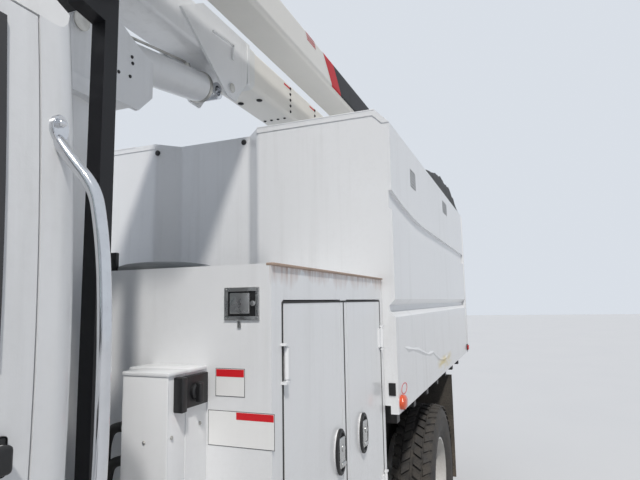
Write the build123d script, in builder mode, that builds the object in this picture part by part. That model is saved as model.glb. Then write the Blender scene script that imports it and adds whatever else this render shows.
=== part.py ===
"""Forestry bucket truck: conventional cab, side-by-side aerial lift and chip box.

X points forward, Y to the driver's side, Z up. Millimetres. The origin is on the
ground, in the middle of the whole machine's length and width.
"""
import os
from math import atan2, cos, degrees, hypot, radians, sin

from build123d import *

os.makedirs("parts", exist_ok=True)

# Overall and chassis
overall_length = 9080
bumper_to_cab_back = 2755
front_overhang = 1020
cab_to_axle = 3095
cab_to_box = 1775
tyre_radius = 515
tyre_width = 275
rim_radius = 286
dual_spacing = 330
front_track_half = 1035
kingpin_y = 860
frame_top = 1000
rail_height = 260
rail_flange = 85
rail_wall = 10
frame_half = 432
frame_tail = 60
gap = 5
seat_gap = 0.3

front_face = overall_length / 2
rear_end = -overall_length / 2
cab_back = front_face - bumper_to_cab_back
front_axle_x = front_face - front_overhang
rear_axle_x = cab_back - cab_to_axle
axle_z = tyre_radius
rail_bottom = frame_top - rail_height

# Cab
cab_half = 1050
cab_wall = 45
cab_floor = 1030
cab_roof = 2460
cowl_x = cab_back + 1455
belt_z = 1700
bulge_z = 1640
side_tuck = 28
side_lean = 35
corner_round = 80
door_back = cab_back + 115
door_front = cab_back + 1255
glass_thick = 7

# Hood and nose
hood_wall = 25
hood_back = cowl_x + 8
nose_x = front_face - 130
nose_bottom = 850
fender_bottom = 800
rail_front = nose_x - 100
fender_half = 1180
arch_radius = 600
bumper_depth = 120
bumper_bottom = 500
bumper_top = 790

# Chip box
box_front = cab_back - cab_to_box
box_length = 3240
box_half = 1220
rear_outer_face = box_half
box_floor = 1230
box_side_top = 2712
box_top = 2790
box_wall = 40
box_rear = box_front - box_length
recess_depth = 110
recess_left = 440
recess_right = -280
gate_thick = 60
gate_gap = 8

# Tool boxes
tool_front = cab_back - 550
tool_back = box_front + gap
tool_outer = box_half - 68
tool_inner = 520
tool_bottom = 700
tool_top = 1895
tool_wall = 25
tool_door_bottom = 750
tool_door_top = 1790
tool_door_thick = 28

# Aerial lift
pedestal_x = cab_back - 645
pedestal_radius = 260
pedestal_wall = 16
pedestal_top = 2620
boom_pivot_x = cab_back - 365
boom_pivot_z = 3360
boom_y = 95
boom_width = 250
boom_bottom = 3215
boom_height = 245
boom_wall = 12
plate_thick = 20
cylinder_pin_x = cab_back - 665
cylinder_pin_z = 2900
rod_pin_x = cab_back - 1825
rod_pin_z = 3090
barrel_radius = 88
rod_radius = 45
steel_end = cab_back - 2045
elbow_radius = 180
elbow_x = rear_end + elbow_radius
elbow_z = 3420
upper_y = 448
upper_width = 264
upper_bottom = 3380
upper_height = 240
upper_tip_x = cab_back - 235
bucket_y = 940
bucket_side = 600
bucket_bottom = 2820
bucket_height = 1050
bucket_wall = 12
bucket_pivot_z = upper_bottom + upper_height / 2


def block(x0, x1, y0, y1, z0, z1, mode=Mode.ADD):
    """A box between two corners, added to the piece being made."""
    with Locations(((x0 + x1) / 2, (y0 + y1) / 2, (z0 + z1) / 2)):
        Box(abs(x1 - x0), abs(y1 - y0), abs(z1 - z0), mode=mode)


def side_plane(y):
    """A plane seen from the passenger's side: X right, Z up, extruding towards -Y."""
    return Plane(origin=(0, y, 0), x_dir=(1, 0, 0), z_dir=(0, -1, 0))


def slab(points, y0, y1, mode=Mode.ADD):
    """A side outline of X, Z points made solid between two Y values."""
    with BuildSketch(side_plane(max(y0, y1))) as outline:
        Polygon(*points, align=None)
    extrude(outline.sketch, amount=abs(y1 - y0), mode=mode)


def rod_y(x, z, radius, y0, y1, mode=Mode.ADD):
    """A round bar along Y."""
    with BuildSketch(side_plane(max(y0, y1))) as outline:
        with Locations((x, z)):
            Circle(radius)
    extrude(outline.sketch, amount=abs(y1 - y0), mode=mode)


def rod_z(x, y, radius, z0, z1, mode=Mode.ADD):
    """A round bar along Z."""
    with BuildSketch(Plane.XY.offset(min(z0, z1))) as outline:
        with Locations((x, y)):
            Circle(radius)
    extrude(outline.sketch, amount=abs(z1 - z0), mode=mode)


# Frame rails, cross members and the hitch plate
rear_frame = box_rear + frame_tail
front_frame = front_face - bumper_depth
cross_bottom = rail_bottom + 125
hitch_plate = 20
hitch_bolt_y = 85.7
hitch_bolt_z = 44.5
hitch_bolt_radius = 6.75
hitch_z = 800
lug_radius = 17
lug_y = 260

with BuildPart() as frame:
    for side in (1, -1):
        y_out = side * frame_half
        y_in = side * (frame_half - rail_flange)
        block(rear_frame, rail_front, y_out, y_out - side * rail_wall, rail_bottom, frame_top)
        block(rear_frame, rail_front, y_out, y_in, frame_top - rail_wall, frame_top)
        block(rear_frame, rail_front, y_out, y_in, rail_bottom, rail_bottom + rail_wall)
    for x in (rear_frame + 200, rear_axle_x - 500, rear_axle_x + 500, pedestal_x, cab_back + 250):
        block(x - 40, x + 40, -frame_half + rail_wall, frame_half - rail_wall,
              cross_bottom, frame_top - rail_wall)
    block(rail_front - 60, rail_front, -frame_half + rail_wall, frame_half - rail_wall,
          rail_bottom, frame_top - 60)
    block(rear_frame - hitch_plate, rear_frame, -frame_half, frame_half, rail_bottom - 60, frame_top)
    with BuildSketch(Plane.YZ.offset(rear_frame - hitch_plate)):
        with Locations((0, hitch_z)):
            with GridLocations(hitch_bolt_y, hitch_bolt_z, 2, 2):
                Circle(hitch_bolt_radius)
    extrude(amount=hitch_plate, mode=Mode.SUBTRACT)
    for side in (1, -1):
        block(rear_frame - hitch_plate - 70, rear_frame - hitch_plate, side * lug_y - 10,
              side * lug_y + 10, hitch_z - 60, hitch_z + 60)
        rod_y(rear_frame - hitch_plate - 40, hitch_z, lug_radius, side * lug_y - 10,
              side * lug_y + 10, mode=Mode.SUBTRACT)
frame.part.label = "frame"
export_step(frame.part, "parts/frame.step")

# Front axle beam with its springs
beam_z = axle_z - 20
spring_y = frame_half - rail_flange / 2
spring_half = 38
kingpin_radius = 22
fork_height = 190

with BuildPart() as front_axle:
    block(front_axle_x - 55, front_axle_x + 55, -kingpin_y + 75, kingpin_y - 75, beam_z - 55, beam_z + 55)
    for side in (1, -1):
        rod_z(front_axle_x, side * kingpin_y, 48, beam_z - 60, beam_z + 60)
        block(front_axle_x - 48, front_axle_x + 48, side * (kingpin_y - 80), side * kingpin_y,
              beam_z - 55, beam_z + 55)
        rod_z(front_axle_x, side * kingpin_y, kingpin_radius, beam_z - fork_height / 2,
              beam_z + fork_height / 2)
        slab([(front_axle_x - 650, rail_bottom - seat_gap), (front_axle_x - 650, rail_bottom - 45),
              (front_axle_x - 90, beam_z + 55), (front_axle_x + 90, beam_z + 55),
              (front_axle_x + 650, rail_bottom - 45), (front_axle_x + 650, rail_bottom - seat_gap),
              (front_axle_x + 560, rail_bottom - seat_gap), (front_axle_x + 90, beam_z + 130),
              (front_axle_x - 90, beam_z + 130), (front_axle_x - 560, rail_bottom - seat_gap)],
             side * (spring_y - spring_half), side * (spring_y + spring_half))
front_axle.part.label = "front_axle"
export_step(front_axle.part, "parts/front_axle.step")

# Rear axle housing with springs and propeller shaft
rear_track_inner = rear_outer_face - tyre_width - dual_spacing
hub_inner_y = rear_track_inner + 40

with BuildPart() as rear_axle:
    rod_y(rear_axle_x, axle_z, 75, -hub_inner_y + 60, hub_inner_y - 60)
    with BuildSketch(side_plane(200)):
        with Locations((rear_axle_x, axle_z)):
            Circle(215)
    extrude(amount=400, taper=0)
    with BuildSketch(Plane.YZ.offset(rear_axle_x)):
        with Locations((0, axle_z)):
            Circle(150)
    extrude(amount=380)
    for side in (1, -1):
        rod_y(rear_axle_x, axle_z, 55, side * (hub_inner_y - 60), side * (hub_inner_y + 180))
        slab([(rear_axle_x - 650, rail_bottom - seat_gap), (rear_axle_x - 650, rail_bottom - 55),
              (rear_axle_x - 90, axle_z + 60), (rear_axle_x + 90, axle_z + 60),
              (rear_axle_x + 650, rail_bottom - 55), (rear_axle_x + 650, rail_bottom - seat_gap),
              (rear_axle_x + 540, rail_bottom - seat_gap), (rear_axle_x + 90, axle_z + 160),
              (rear_axle_x - 90, axle_z + 160), (rear_axle_x - 540, rail_bottom - seat_gap)],
             side * (spring_y - spring_half), side * (spring_y + spring_half))
rear_axle.part.label = "rear_axle"
export_step(rear_axle.part, "parts/rear_axle.step")

# Engine and gearbox as one block, with the propeller shaft back to the axle
engine_back = cowl_x + 20
engine_front = nose_x - 240
engine_half = 320
engine_bottom = 700
engine_top = 1420
gearbox_back = cab_back + 555

with BuildPart() as engine:
    block(engine_back, engine_front, -engine_half, engine_half, engine_bottom, engine_top)
    block(gearbox_back, engine_back, -200, 200, 640, 960)
    for side in (1, -1):
        block(engine_back + 380, engine_back + 480, side * (engine_half - 5),
              side * (frame_half - rail_wall - seat_gap), rail_bottom + 90, rail_bottom + 150)
    with BuildSketch(Plane(origin=(gearbox_back, 0, 800), x_dir=(0, 1, 0),
                           z_dir=(rear_axle_x + 380 - gearbox_back, 0, axle_z - 800))):
        Circle(50)
    extrude(amount=hypot(rear_axle_x + 380 - gearbox_back, axle_z - 800) - 4.8)
engine.part.label = "engine"
export_step(engine.part, "parts/engine.step")

# Fuel tanks with steps, one each side under the cab
tank_front = cab_back + 1055
tank_back = cab_back + 115
tank_outer = 1040
tank_top = 900

with BuildPart() as tanks:
    for side in (1, -1):
        with BuildSketch(Plane.YZ.offset(tank_back)):
            with Locations((side * (frame_half + 30 + 260), tank_top - 240)):
                RectangleRounded(520, 480, 150)
        extrude(amount=tank_front - tank_back)
        for z in (tank_top - 400, tank_top - 120):
            block(tank_back + 60, tank_front - 60, side * (frame_half + 300), side * (tank_outer + 20),
                  z, z + 30)
        for x in (tank_back + 160, tank_front - 200):
            block(x, x + 50, side * frame_half, side * (frame_half + 60), tank_top - 330, tank_top - 20)
tanks.part.label = "tanks"
export_step(tanks.part, "parts/tanks.step")

# Front bumper, with the ears that the hood's hinge pins go through
hood_pivot_x = nose_x - 10
hood_pivot_z = nose_bottom - 20
hood_pin_radius = 10
ear_radius = 14
ear_thick = 10
hood_lug_in = frame_half - 62
hood_lug_out = frame_half - 22
with BuildPart() as bumper:
    with BuildSketch(Plane.XY.offset(bumper_bottom)):
        Polygon((front_frame, -900), (front_frame - 160, -1180), (front_frame - 120, -1200),
                (front_face - 20, -900), (front_face, -850), (front_face, 850),
                (front_face - 20, 900), (front_frame - 120, 1200), (front_frame - 160, 1180),
                (front_frame, 900), align=None)
    extrude(amount=bumper_top - bumper_bottom)
    block(front_frame - 60, front_face - 14, -840, 840, bumper_bottom - 5, bumper_top - 14,
          mode=Mode.SUBTRACT)
    for side in (1, -1):
        block(rail_front - 110, front_face - 14, side * (frame_half - 80), side * frame_half,
              bumper_bottom + 60, rail_bottom - seat_gap)
        for y in (hood_lug_in - gap - ear_thick, hood_lug_out + gap):
            rod_y(hood_pivot_x, hood_pivot_z, ear_radius, side * y, side * (y + ear_thick))
            block(hood_pivot_x - 12, hood_pivot_x + 12, side * y, side * (y + ear_thick),
                  rail_bottom - 20, hood_pivot_z)
        rod_y(hood_pivot_x, hood_pivot_z, hood_pin_radius, side * (hood_lug_in - gap - 5),
              side * (hood_lug_out + gap + 5))
bumper.part.label = "bumper"
export_step(bumper.part, "parts/bumper.step")


# Cab: one closed form, cut by its wall into a shell, doors and glass
def cab_form(inset):
    """The cab's outer form, drawn in by an inset on every side."""
    with BuildPart() as form:
        with BuildSketch(Plane.XZ):
            with BuildLine():
                Polyline((cab_back, cab_floor), (cowl_x - 200, cab_floor), (cowl_x, cab_floor + 240),
                         (cowl_x, belt_z), (cowl_x - 500, cab_roof - 40), (cowl_x - 640, cab_roof),
                         (cab_back + 120, cab_roof), (cab_back, cab_roof - 110), close=True)
            make_face()
            if inset:
                offset(amount=-inset, kind=Kind.INTERSECTION, mode=Mode.REPLACE)
        extrude(amount=cab_half + 100, both=True)
        with BuildSketch(Plane.YZ.offset(cab_back - 100)):
            with BuildLine():
                Line((-cab_half + side_tuck, cab_floor), (cab_half - side_tuck, cab_floor))
                ThreePointArc((cab_half - side_tuck, cab_floor), (cab_half, bulge_z),
                              (cab_half - side_lean, cab_roof - 140))
                Line((cab_half - side_lean, cab_roof - 140), (cab_half - 80, cab_roof - 45))
                Line((cab_half - 80, cab_roof - 45), (cab_half - 180, cab_roof))
                Line((cab_half - 180, cab_roof), (-cab_half + 180, cab_roof))
                Line((-cab_half + 180, cab_roof), (-cab_half + 80, cab_roof - 45))
                Line((-cab_half + 80, cab_roof - 45), (-cab_half + side_lean, cab_roof - 140))
                ThreePointArc((-cab_half + side_lean, cab_roof - 140), (-cab_half, bulge_z),
                              (-cab_half + side_tuck, cab_floor))
            make_face()
            if inset:
                offset(amount=-inset, kind=Kind.INTERSECTION, mode=Mode.REPLACE)
        extrude(amount=bumper_to_cab_back, mode=Mode.INTERSECT)
        back_edges = form.edges().filter_by_position(Axis.X, cab_back + inset - 1, cab_back + inset + 1)
        corners = back_edges.group_by(Axis.Y)[0] + back_edges.group_by(Axis.Y)[-1]
        fillet(corners, radius=max(corner_round - inset, 35))
    return form.part


def door_outline(shrink):
    """The door's outline in X, Z."""
    return [(door_back + shrink, cab_floor + 40 + shrink), (door_front - shrink, cab_floor + 40 + shrink),
            (door_front - shrink, belt_z), (door_front - 390 - shrink, cab_roof - 140 - shrink),
            (door_back + shrink, cab_roof - 140 - shrink)]


def window_outline(shrink):
    """The door window's outline in X, Z."""
    return [(door_back + 90 + shrink, belt_z + 10 + shrink), (door_front - 90 - shrink, belt_z + 10 + shrink),
            (door_front - 425 - shrink, cab_roof - 200 - shrink),
            (door_back + 90 + shrink, cab_roof - 200 - shrink)]


cab_hinge_x = door_front - gap
cab_hinge_y = cab_half + 5
cab_hinge_z = (1170, 1560)
cab_hinge_length = 70
cab_hinge_radius = 9
cab_pin_radius = 5
cab_ear = 8
cab_ear_reach = 14
cab_leaf = 34


def cab_hinges(side, on_door):
    """Two butt hinges on a cab door: its knuckles, or the pillar's pins and ears."""
    y = side * cab_hinge_y
    inner = y - side * (cab_leaf - 1)
    for low in cab_hinge_z:
        high = low + cab_hinge_length
        rod_z(cab_hinge_x, y, cab_hinge_radius + gap, low - cab_ear_reach - gap,
              high + cab_ear_reach + gap, mode=Mode.SUBTRACT)
        if on_door:
            rod_z(cab_hinge_x, y, cab_hinge_radius, low, high)
            block(cab_hinge_x - cab_leaf, cab_hinge_x, inner, y - side, low, high)
            rod_z(cab_hinge_x, y, cab_pin_radius + seat_gap, low - 1, high + 1, mode=Mode.SUBTRACT)
        else:
            rod_z(cab_hinge_x, y, cab_pin_radius, low - cab_ear_reach, high + cab_ear_reach)
            for z in (low - cab_ear_reach, high + cab_ear_reach - cab_ear):
                rod_z(cab_hinge_x, y, cab_hinge_radius, z, z + cab_ear)
                block(cab_hinge_x + gap, cab_hinge_x + cab_leaf, inner, y - side, z, z + cab_ear)
                block(cab_hinge_x, cab_hinge_x + cab_leaf, y - side * 7, y - side, z, z + cab_ear)


cab_outer = cab_form(0)
cab_inner = cab_form(cab_wall)
glass_outer = cab_form(cab_wall / 2 - glass_thick / 2)
glass_inner = cab_form(cab_wall / 2 + glass_thick / 2)
screen_half = 860
rear_glass_half = 430

with BuildPart() as cab_shell:
    add(cab_outer)
    add(cab_inner, mode=Mode.SUBTRACT)
    for side in (1, -1):
        slab(door_outline(0), side * (cab_half - 400), side * (cab_half + 50), mode=Mode.SUBTRACT)
    block(cowl_x - 640, cowl_x + 100, -screen_half, screen_half, belt_z + 60, cab_roof - 90,
          mode=Mode.SUBTRACT)
    block(cab_back - 50, cab_back + 100, -rear_glass_half, rear_glass_half, belt_z + 60, cab_roof - 200,
          mode=Mode.SUBTRACT)
    for x in (cab_back + 200, cowl_x - 330):
        for side in (1, -1):
            block(x - 50, x + 50, side * (frame_half - 70), side * (frame_half - 10), frame_top, cab_floor)
    for side in (1, -1):
        cab_hinges(side, False)
cab_shell.part.label = "cab_shell"
export_step(cab_shell.part, "parts/cab_shell.step")

with BuildPart() as cab_glass:
    add(glass_outer)
    add(glass_inner, mode=Mode.SUBTRACT)
    with BuildPart(mode=Mode.PRIVATE) as glass_limits:
        block(cowl_x - 640, cowl_x + 100, -screen_half + seat_gap, screen_half - seat_gap,
              belt_z + 60 + seat_gap, cab_roof - 90 - seat_gap)
        block(cab_back - 50, cab_back + 100, -rear_glass_half + seat_gap, rear_glass_half - seat_gap,
              belt_z + 60 + seat_gap, cab_roof - 200 - seat_gap)
    add(glass_limits.part, mode=Mode.INTERSECT)
cab_glass.part.label = "cab_glass"
export_step(cab_glass.part, "parts/cab_glass.step")

for side, name in ((1, "left"), (-1, "right")):
    with BuildPart() as door:
        add(cab_outer)
        add(cab_inner, mode=Mode.SUBTRACT)
        slab(door_outline(gap), side * (cab_half - 400), side * (cab_half + 50), mode=Mode.INTERSECT)
        slab(window_outline(0), side * (cab_half - 400), side * (cab_half + 50), mode=Mode.SUBTRACT)
        block(door_back + 60, door_back + 220, side * (cab_half - 5), side * (cab_half + 25),
              belt_z - 170, belt_z - 130)
        cab_hinges(side, True)
    door.part.label = f"door_{name}"
    export_step(door.part, f"parts/door_{name}.step")
    with BuildPart() as door_glass:
        add(glass_outer)
        add(glass_inner, mode=Mode.SUBTRACT)
        slab(window_outline(seat_gap), side * (cab_half - 400), side * (cab_half + 50),
             mode=Mode.INTERSECT)
    door_glass.part.label = f"door_glass_{name}"
    export_step(door_glass.part, f"parts/door_glass_{name}.step")

# Seats, dashboard and steering wheel
cabin_floor = cab_floor + cab_wall
seat_width = 520
seat_y = 440

with BuildPart() as seats:
    for side in (1, -1):
        slab([(cab_back + 190, cabin_floor + seat_gap), (cab_back + 620, cabin_floor + seat_gap),
              (cab_back + 620, cabin_floor + 240), (cab_back + 740, cabin_floor + 260),
              (cab_back + 740, cabin_floor + 370), (cab_back + 330, cabin_floor + 370),
              (cab_back + 230, cabin_floor + 1000), (cab_back + 110, cabin_floor + 1000)],
             side * seat_y - seat_width / 2, side * seat_y + seat_width / 2)
seats.part.label = "seats"
export_step(seats.part, "parts/seats.step")

dash_front = cowl_x - cab_wall - seat_gap
with BuildPart() as dashboard:
    slab([(dash_front, belt_z - 20), (dash_front - 330, belt_z - 40), (dash_front - 330, belt_z - 260),
          (dash_front - 200, belt_z - 420), (dash_front - 60, belt_z - 420)],
         -cab_half + cab_wall + 60, cab_half - cab_wall - 60)
    with BuildSketch(Plane(origin=(dash_front - 300, seat_y, belt_z - 150), x_dir=(0, 1, 0),
                           z_dir=(-0.8, 0, 0.6))):
        Circle(35)
    extrude(amount=230)
    with BuildSketch(Plane(origin=(dash_front - 484, seat_y, belt_z - 12), x_dir=(0, 1, 0),
                           z_dir=(-0.8, 0, 0.6))):
        Circle(225)
        Circle(195, mode=Mode.SUBTRACT)
        Rectangle(400, 40)
    extrude(amount=30, both=False)
dashboard.part.label = "dashboard"
export_step(dashboard.part, "parts/dashboard.step")

# Mirrors on arms from the front pillars
with BuildPart() as mirrors:
    for side in (1, -1):
        block(cowl_x - 130, cowl_x - 100, side * (cab_half + seat_gap), side * (cab_half + 280),
              belt_z - 60, belt_z - 30)
        block(cowl_x - 130, cowl_x - 100, side * (cab_half + 120), side * (cab_half + 280), belt_z + 480,
              belt_z + 510)
        block(cowl_x - 130, cowl_x - 100, side * (cab_half + 120), side * (cab_half + 150), belt_z - 60,
              belt_z + 510)
        block(cowl_x - 155, cowl_x - 90, side * (cab_half + 140), side * (cab_half + 350), belt_z - 10,
              belt_z + 450)
mirrors.part.label = "mirrors"
export_step(mirrors.part, "parts/mirrors.step")

# Hood with its fenders, one shell that tilts forward
hood_round = 90


def hood_form(inset):
    """The hood's outer form, drawn in by an inset."""
    with BuildPart() as form:
        slab([(hood_back, 700), (nose_x - inset, 700), (nose_x - inset, 1480 - inset),
              (nose_x - 90 - inset, 1570 - inset), (hood_back, belt_z + 20 - inset)],
             -760 + inset, 760 - inset)
        for group in (form.edges().group_by(Axis.Y)[0], form.edges().group_by(Axis.Y)[-1]):
            fillet(group.filter_by_position(Axis.Z, 900, 1800).filter_by_position(
                Axis.X, hood_back + 100, nose_x), radius=hood_round - inset)
        for side in (1, -1):
            slab([(hood_back, 700), (nose_x - 60 - inset, 700), (nose_x - 60 - inset, 1080),
                  (front_axle_x + 420, 1200 - inset), (front_axle_x - 120, 1250 - inset),
                  (hood_back, 1250 - inset)], side * 700, side * (fender_half - inset))
            slab([(hood_back + 60, 1250 - inset), (hood_back - 110 + inset, 1220 - inset),
                  (hood_back - 160 + inset, 1020 - inset), (hood_back - 160 + inset, 700),
                  (hood_back + 60, 700)],
                 side * (cab_half + 12), side * (fender_half - inset))
    return form.part


grille_half = 430
grille_bottom = 900
grille_top = 1440

with BuildPart() as hood:
    add(hood_form(0))
    add(hood_form(hood_wall), mode=Mode.SUBTRACT)
    block(hood_back - 400, nose_x + 10, -fender_half - 10, fender_half + 10, 600, fender_bottom,
          mode=Mode.SUBTRACT)
    block(hood_back - 10, nose_x + 10, -700, 700, 600, nose_bottom, mode=Mode.SUBTRACT)
    rod_y(front_axle_x, axle_z, arch_radius, 560, fender_half + 20, mode=Mode.SUBTRACT)
    rod_y(front_axle_x, axle_z, arch_radius, -560, -fender_half - 20, mode=Mode.SUBTRACT)
    block(nose_x - 60, nose_x + 10, -grille_half, grille_half, grille_bottom, grille_top,
          mode=Mode.SUBTRACT)
    for side in (1, -1):
        rod_y(hood_pivot_x, hood_pivot_z, ear_radius, side * hood_lug_in, side * hood_lug_out)
        block(hood_pivot_x - 12, hood_pivot_x + 10, side * hood_lug_in, side * hood_lug_out,
              hood_pivot_z, nose_bottom + 15)
        rod_y(hood_pivot_x, hood_pivot_z, hood_pin_radius + seat_gap, side * (hood_lug_in - 5),
              side * (hood_lug_out + 5), mode=Mode.SUBTRACT)
hood.part.label = "hood"
export_step(hood.part, "parts/hood.step")

with BuildPart() as grille:
    block(nose_x - 30, nose_x + 12, -grille_half + seat_gap, grille_half - seat_gap,
          grille_bottom + seat_gap, grille_top - seat_gap)
    block(nose_x - 40, nose_x + 20, -grille_half + 45, grille_half - 45, grille_bottom + 45,
          grille_top - 45, mode=Mode.SUBTRACT)
    bars = 6
    pitch = (grille_top - grille_bottom - 90) / (bars + 1)
    for n in range(1, bars + 1):
        z = grille_bottom + 45 + n * pitch
        block(nose_x - 22, nose_x + 8, -grille_half + 20, grille_half - 20, z - 12, z + 12)
grille.part.label = "grille"
export_step(grille.part, "parts/grille.step")

with BuildPart() as headlamps:
    for side in (1, -1):
        block(nose_x - 60, nose_x - 40, side * 780, side * 1080, 830, 1030)
headlamps.part.label = "headlamps"
export_step(headlamps.part, "parts/headlamps.step")

# Cab guard behind and over the cab
post_x = cab_back - 197
post_y = 859
post_half_x = 22
post_half_y = 22
guard_deck = 2590
guard_height = 45
guard_front = cab_back + 555

with BuildPart() as cab_guard:
    block(post_x - post_half_x, post_x + post_half_x, -post_y, post_y, frame_top, frame_top + 60)
    for side in (1, -1):
        y0 = side * (post_y - post_half_y)
        y1 = side * (post_y + post_half_y)
        block(post_x - post_half_x, post_x + post_half_x, y0, y1, frame_top, guard_deck + guard_height)
        block(post_x, guard_front, y0, y1, guard_deck, guard_deck + guard_height)
        slab([(post_x + post_half_x - 5, guard_deck - 95), (post_x + 95, guard_deck - 80),
              (post_x + 130, guard_deck + 5), (post_x + post_half_x - 5, guard_deck + 5)], y0, y1)
    for x in (post_x, (post_x + guard_front) / 2, guard_front - 30):
        block(x - 30, x + 30, -post_y, post_y, guard_deck, guard_deck + guard_height)
    for n in range(-4, 5):
        block(post_x, guard_front - 30, n * 170 - 12, n * 170 + 12, guard_deck + 12, guard_deck + 36)
cab_guard.part.label = "cab_guard"
export_step(cab_guard.part, "parts/cab_guard.step")

# Chrome grab handles on the cab's rear corners, bowed along the cab's side
handle_radius = 12.5
handle_x = cab_back + 57
handle_out = 72
handle_foot = 1020
handle_top = 2110
handle_bottom = 1150
with BuildPart() as grab_handles:
    for side in (1, -1):
        foot_y = side * (handle_foot - 60)
        bar_y = side * (cab_half + handle_out)
        with BuildLine() as bar:
            FilletPolyline((handle_x, foot_y, handle_top), (handle_x, side * handle_foot, handle_top),
                           (handle_x, bar_y, handle_top - 125), (handle_x, bar_y + side * 10, bulge_z),
                           (handle_x, bar_y, handle_bottom + 125), (handle_x, side * handle_foot, handle_bottom),
                           (handle_x, foot_y, handle_bottom), radius=30)
        with BuildSketch(Plane(origin=(handle_x, foot_y, handle_top), z_dir=(0, side, 0))):
            Circle(handle_radius)
        sweep(path=bar.line)
        for z in (handle_bottom, handle_top):
            with BuildSketch(Plane(origin=(handle_x, foot_y, z), z_dir=(-0.2, side, 0))):
                Circle(28)
            extrude(amount=78)
    add(cab_outer, mode=Mode.SUBTRACT)
grab_handles.part.label = "grab_handles"
export_step(grab_handles.part, "parts/grab_handles.step")

# Tool boxes with two doors each
tool_mid = (tool_front + tool_back) / 2
door_limits = ((tool_front - 77, tool_mid + 20), (tool_mid - 50, tool_back + 57))

tool_hinge_z = (tool_door_bottom + 130, tool_door_top - 230)
tool_hinge_y = tool_outer + 10
tool_hinge_length = 90


def door_hinges(side, hinge_x, away, on_door):
    """Two butt hinges on a tool door: its knuckles, or the box's pins and pin plates."""
    for z in tool_hinge_z:
        top = z + tool_hinge_length
        y = side * tool_hinge_y
        if on_door:
            rod_z(hinge_x, y, 8, z, top)
            block(hinge_x, hinge_x - away * 34, y - side * 10.5, y - side * 2, z, top)
            rod_z(hinge_x, y, 5 + seat_gap, z - 5, top + 5, mode=Mode.SUBTRACT)
        else:
            rod_z(hinge_x, y, 5, z - 14, top + 14)
            for low in (z - 14, top + 6):
                block(hinge_x - away * 5, hinge_x + away * 20, y - side * 7, y + side * 8, low, low + 8)
                block(hinge_x + away * 5, hinge_x + away * 20, y - side * 11, y - side * 6, low, low + 8)


with BuildPart() as tool_boxes:
    rod_z(tool_front - 175, 695, 125, tool_top - 5, tool_top + 18)
    rod_z(tool_front - 175, 695, 80, tool_top, tool_top + 26)
    for side in (1, -1):
        block(tool_back, tool_front, side * tool_inner, side * tool_outer, tool_bottom, tool_top)
        block(tool_back + tool_wall, tool_front - tool_wall, side * (tool_inner + tool_wall),
              side * (tool_outer - tool_door_thick), tool_bottom + tool_wall, tool_top - tool_wall,
              mode=Mode.SUBTRACT)
        for x1, x0 in door_limits:
            block(x0, x1, side * (tool_outer - tool_door_thick - 10), side * (tool_outer + 10),
                  tool_door_bottom, tool_door_top, mode=Mode.SUBTRACT)
        door_hinges(side, door_limits[0][0] - gap / 2, 1, False)
        door_hinges(side, door_limits[1][1] + gap / 2, -1, False)
        for x in (tool_front - 200, tool_back + 120):
            block(x, x + 60, side * (frame_half + seat_gap), side * tool_inner, 760, 980)
tool_boxes.part.label = "tool_boxes"
export_step(tool_boxes.part, "parts/tool_boxes.step")

for side, side_name in ((1, "left"), (-1, "right")):
    for (x1, x0), place in zip(door_limits, ("front", "rear")):
        latch_x = x0 + 55 if place == "front" else x1 - 165
        with BuildPart() as tool_door:
            block(x0 + gap, x1 - gap, side * (tool_outer - tool_door_thick + 2), side * tool_outer,
                  tool_door_bottom + gap, tool_door_top - gap)
            with BuildSketch(side_plane(tool_outer + 8) if side > 0 else side_plane(-tool_outer + 8)):
                with Locations((latch_x, 1235)):
                    Ellipse(46, 78)
                    Ellipse(36, 68, mode=Mode.SUBTRACT)
            extrude(amount=16)
            if place == "front":
                door_hinges(side, x1 - gap / 2, 1, True)
            else:
                door_hinges(side, x0 + gap / 2, -1, True)
        tool_door.part.label = f"tool_door_{side_name}_{place}"
        export_step(tool_door.part, f"parts/tool_door_{side_name}_{place}.step")

# Outrigger valve box on the left tool box, and the oil tank beside the pedestal
valve_top = 1600
valve_bottom = 1100
valve_depth = 100
oil_x = pedestal_x - 505
oil_y = 300
oil_radius = 165
oil_top = 1945

with BuildPart() as hydraulics:
    block(tool_front + seat_gap, tool_front + valve_depth, 740, 940, valve_bottom, valve_top)
    rod_z(oil_x, oil_y, oil_radius, frame_top, oil_top)
    fillet(hydraulics.edges().filter_by(GeomType.CIRCLE).sort_by(Axis.Z)[-1:], radius=45)
hydraulics.part.label = "hydraulics"
export_step(hydraulics.part, "parts/hydraulics.step")

# Pedestal on the frame
with BuildPart() as pedestal:
    block(pedestal_x - 330, pedestal_x + 330, -frame_half, frame_half, frame_top, frame_top + 30)
    rod_z(pedestal_x, 0, pedestal_radius, frame_top, pedestal_top)
    for angle in range(45, 360, 90):
        with BuildSketch(Plane(origin=(pedestal_x, 0, frame_top + 30),
                               x_dir=(cos(radians(angle)), sin(radians(angle)), 0),
                               z_dir=(-sin(radians(angle)), cos(radians(angle)), 0))):
            Polygon((pedestal_radius - 20, 0), (pedestal_radius + 140, 0), (pedestal_radius - 20, 420),
                    align=None)
        extrude(amount=10, both=True)
    rod_z(pedestal_x, 0, pedestal_radius + 40, pedestal_top - 30, pedestal_top)
    rod_z(pedestal_x, 0, pedestal_radius - pedestal_wall, frame_top + 30, pedestal_top - 30,
          mode=Mode.SUBTRACT)
pedestal.part.label = "pedestal"
export_step(pedestal.part, "parts/pedestal.step")

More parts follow.
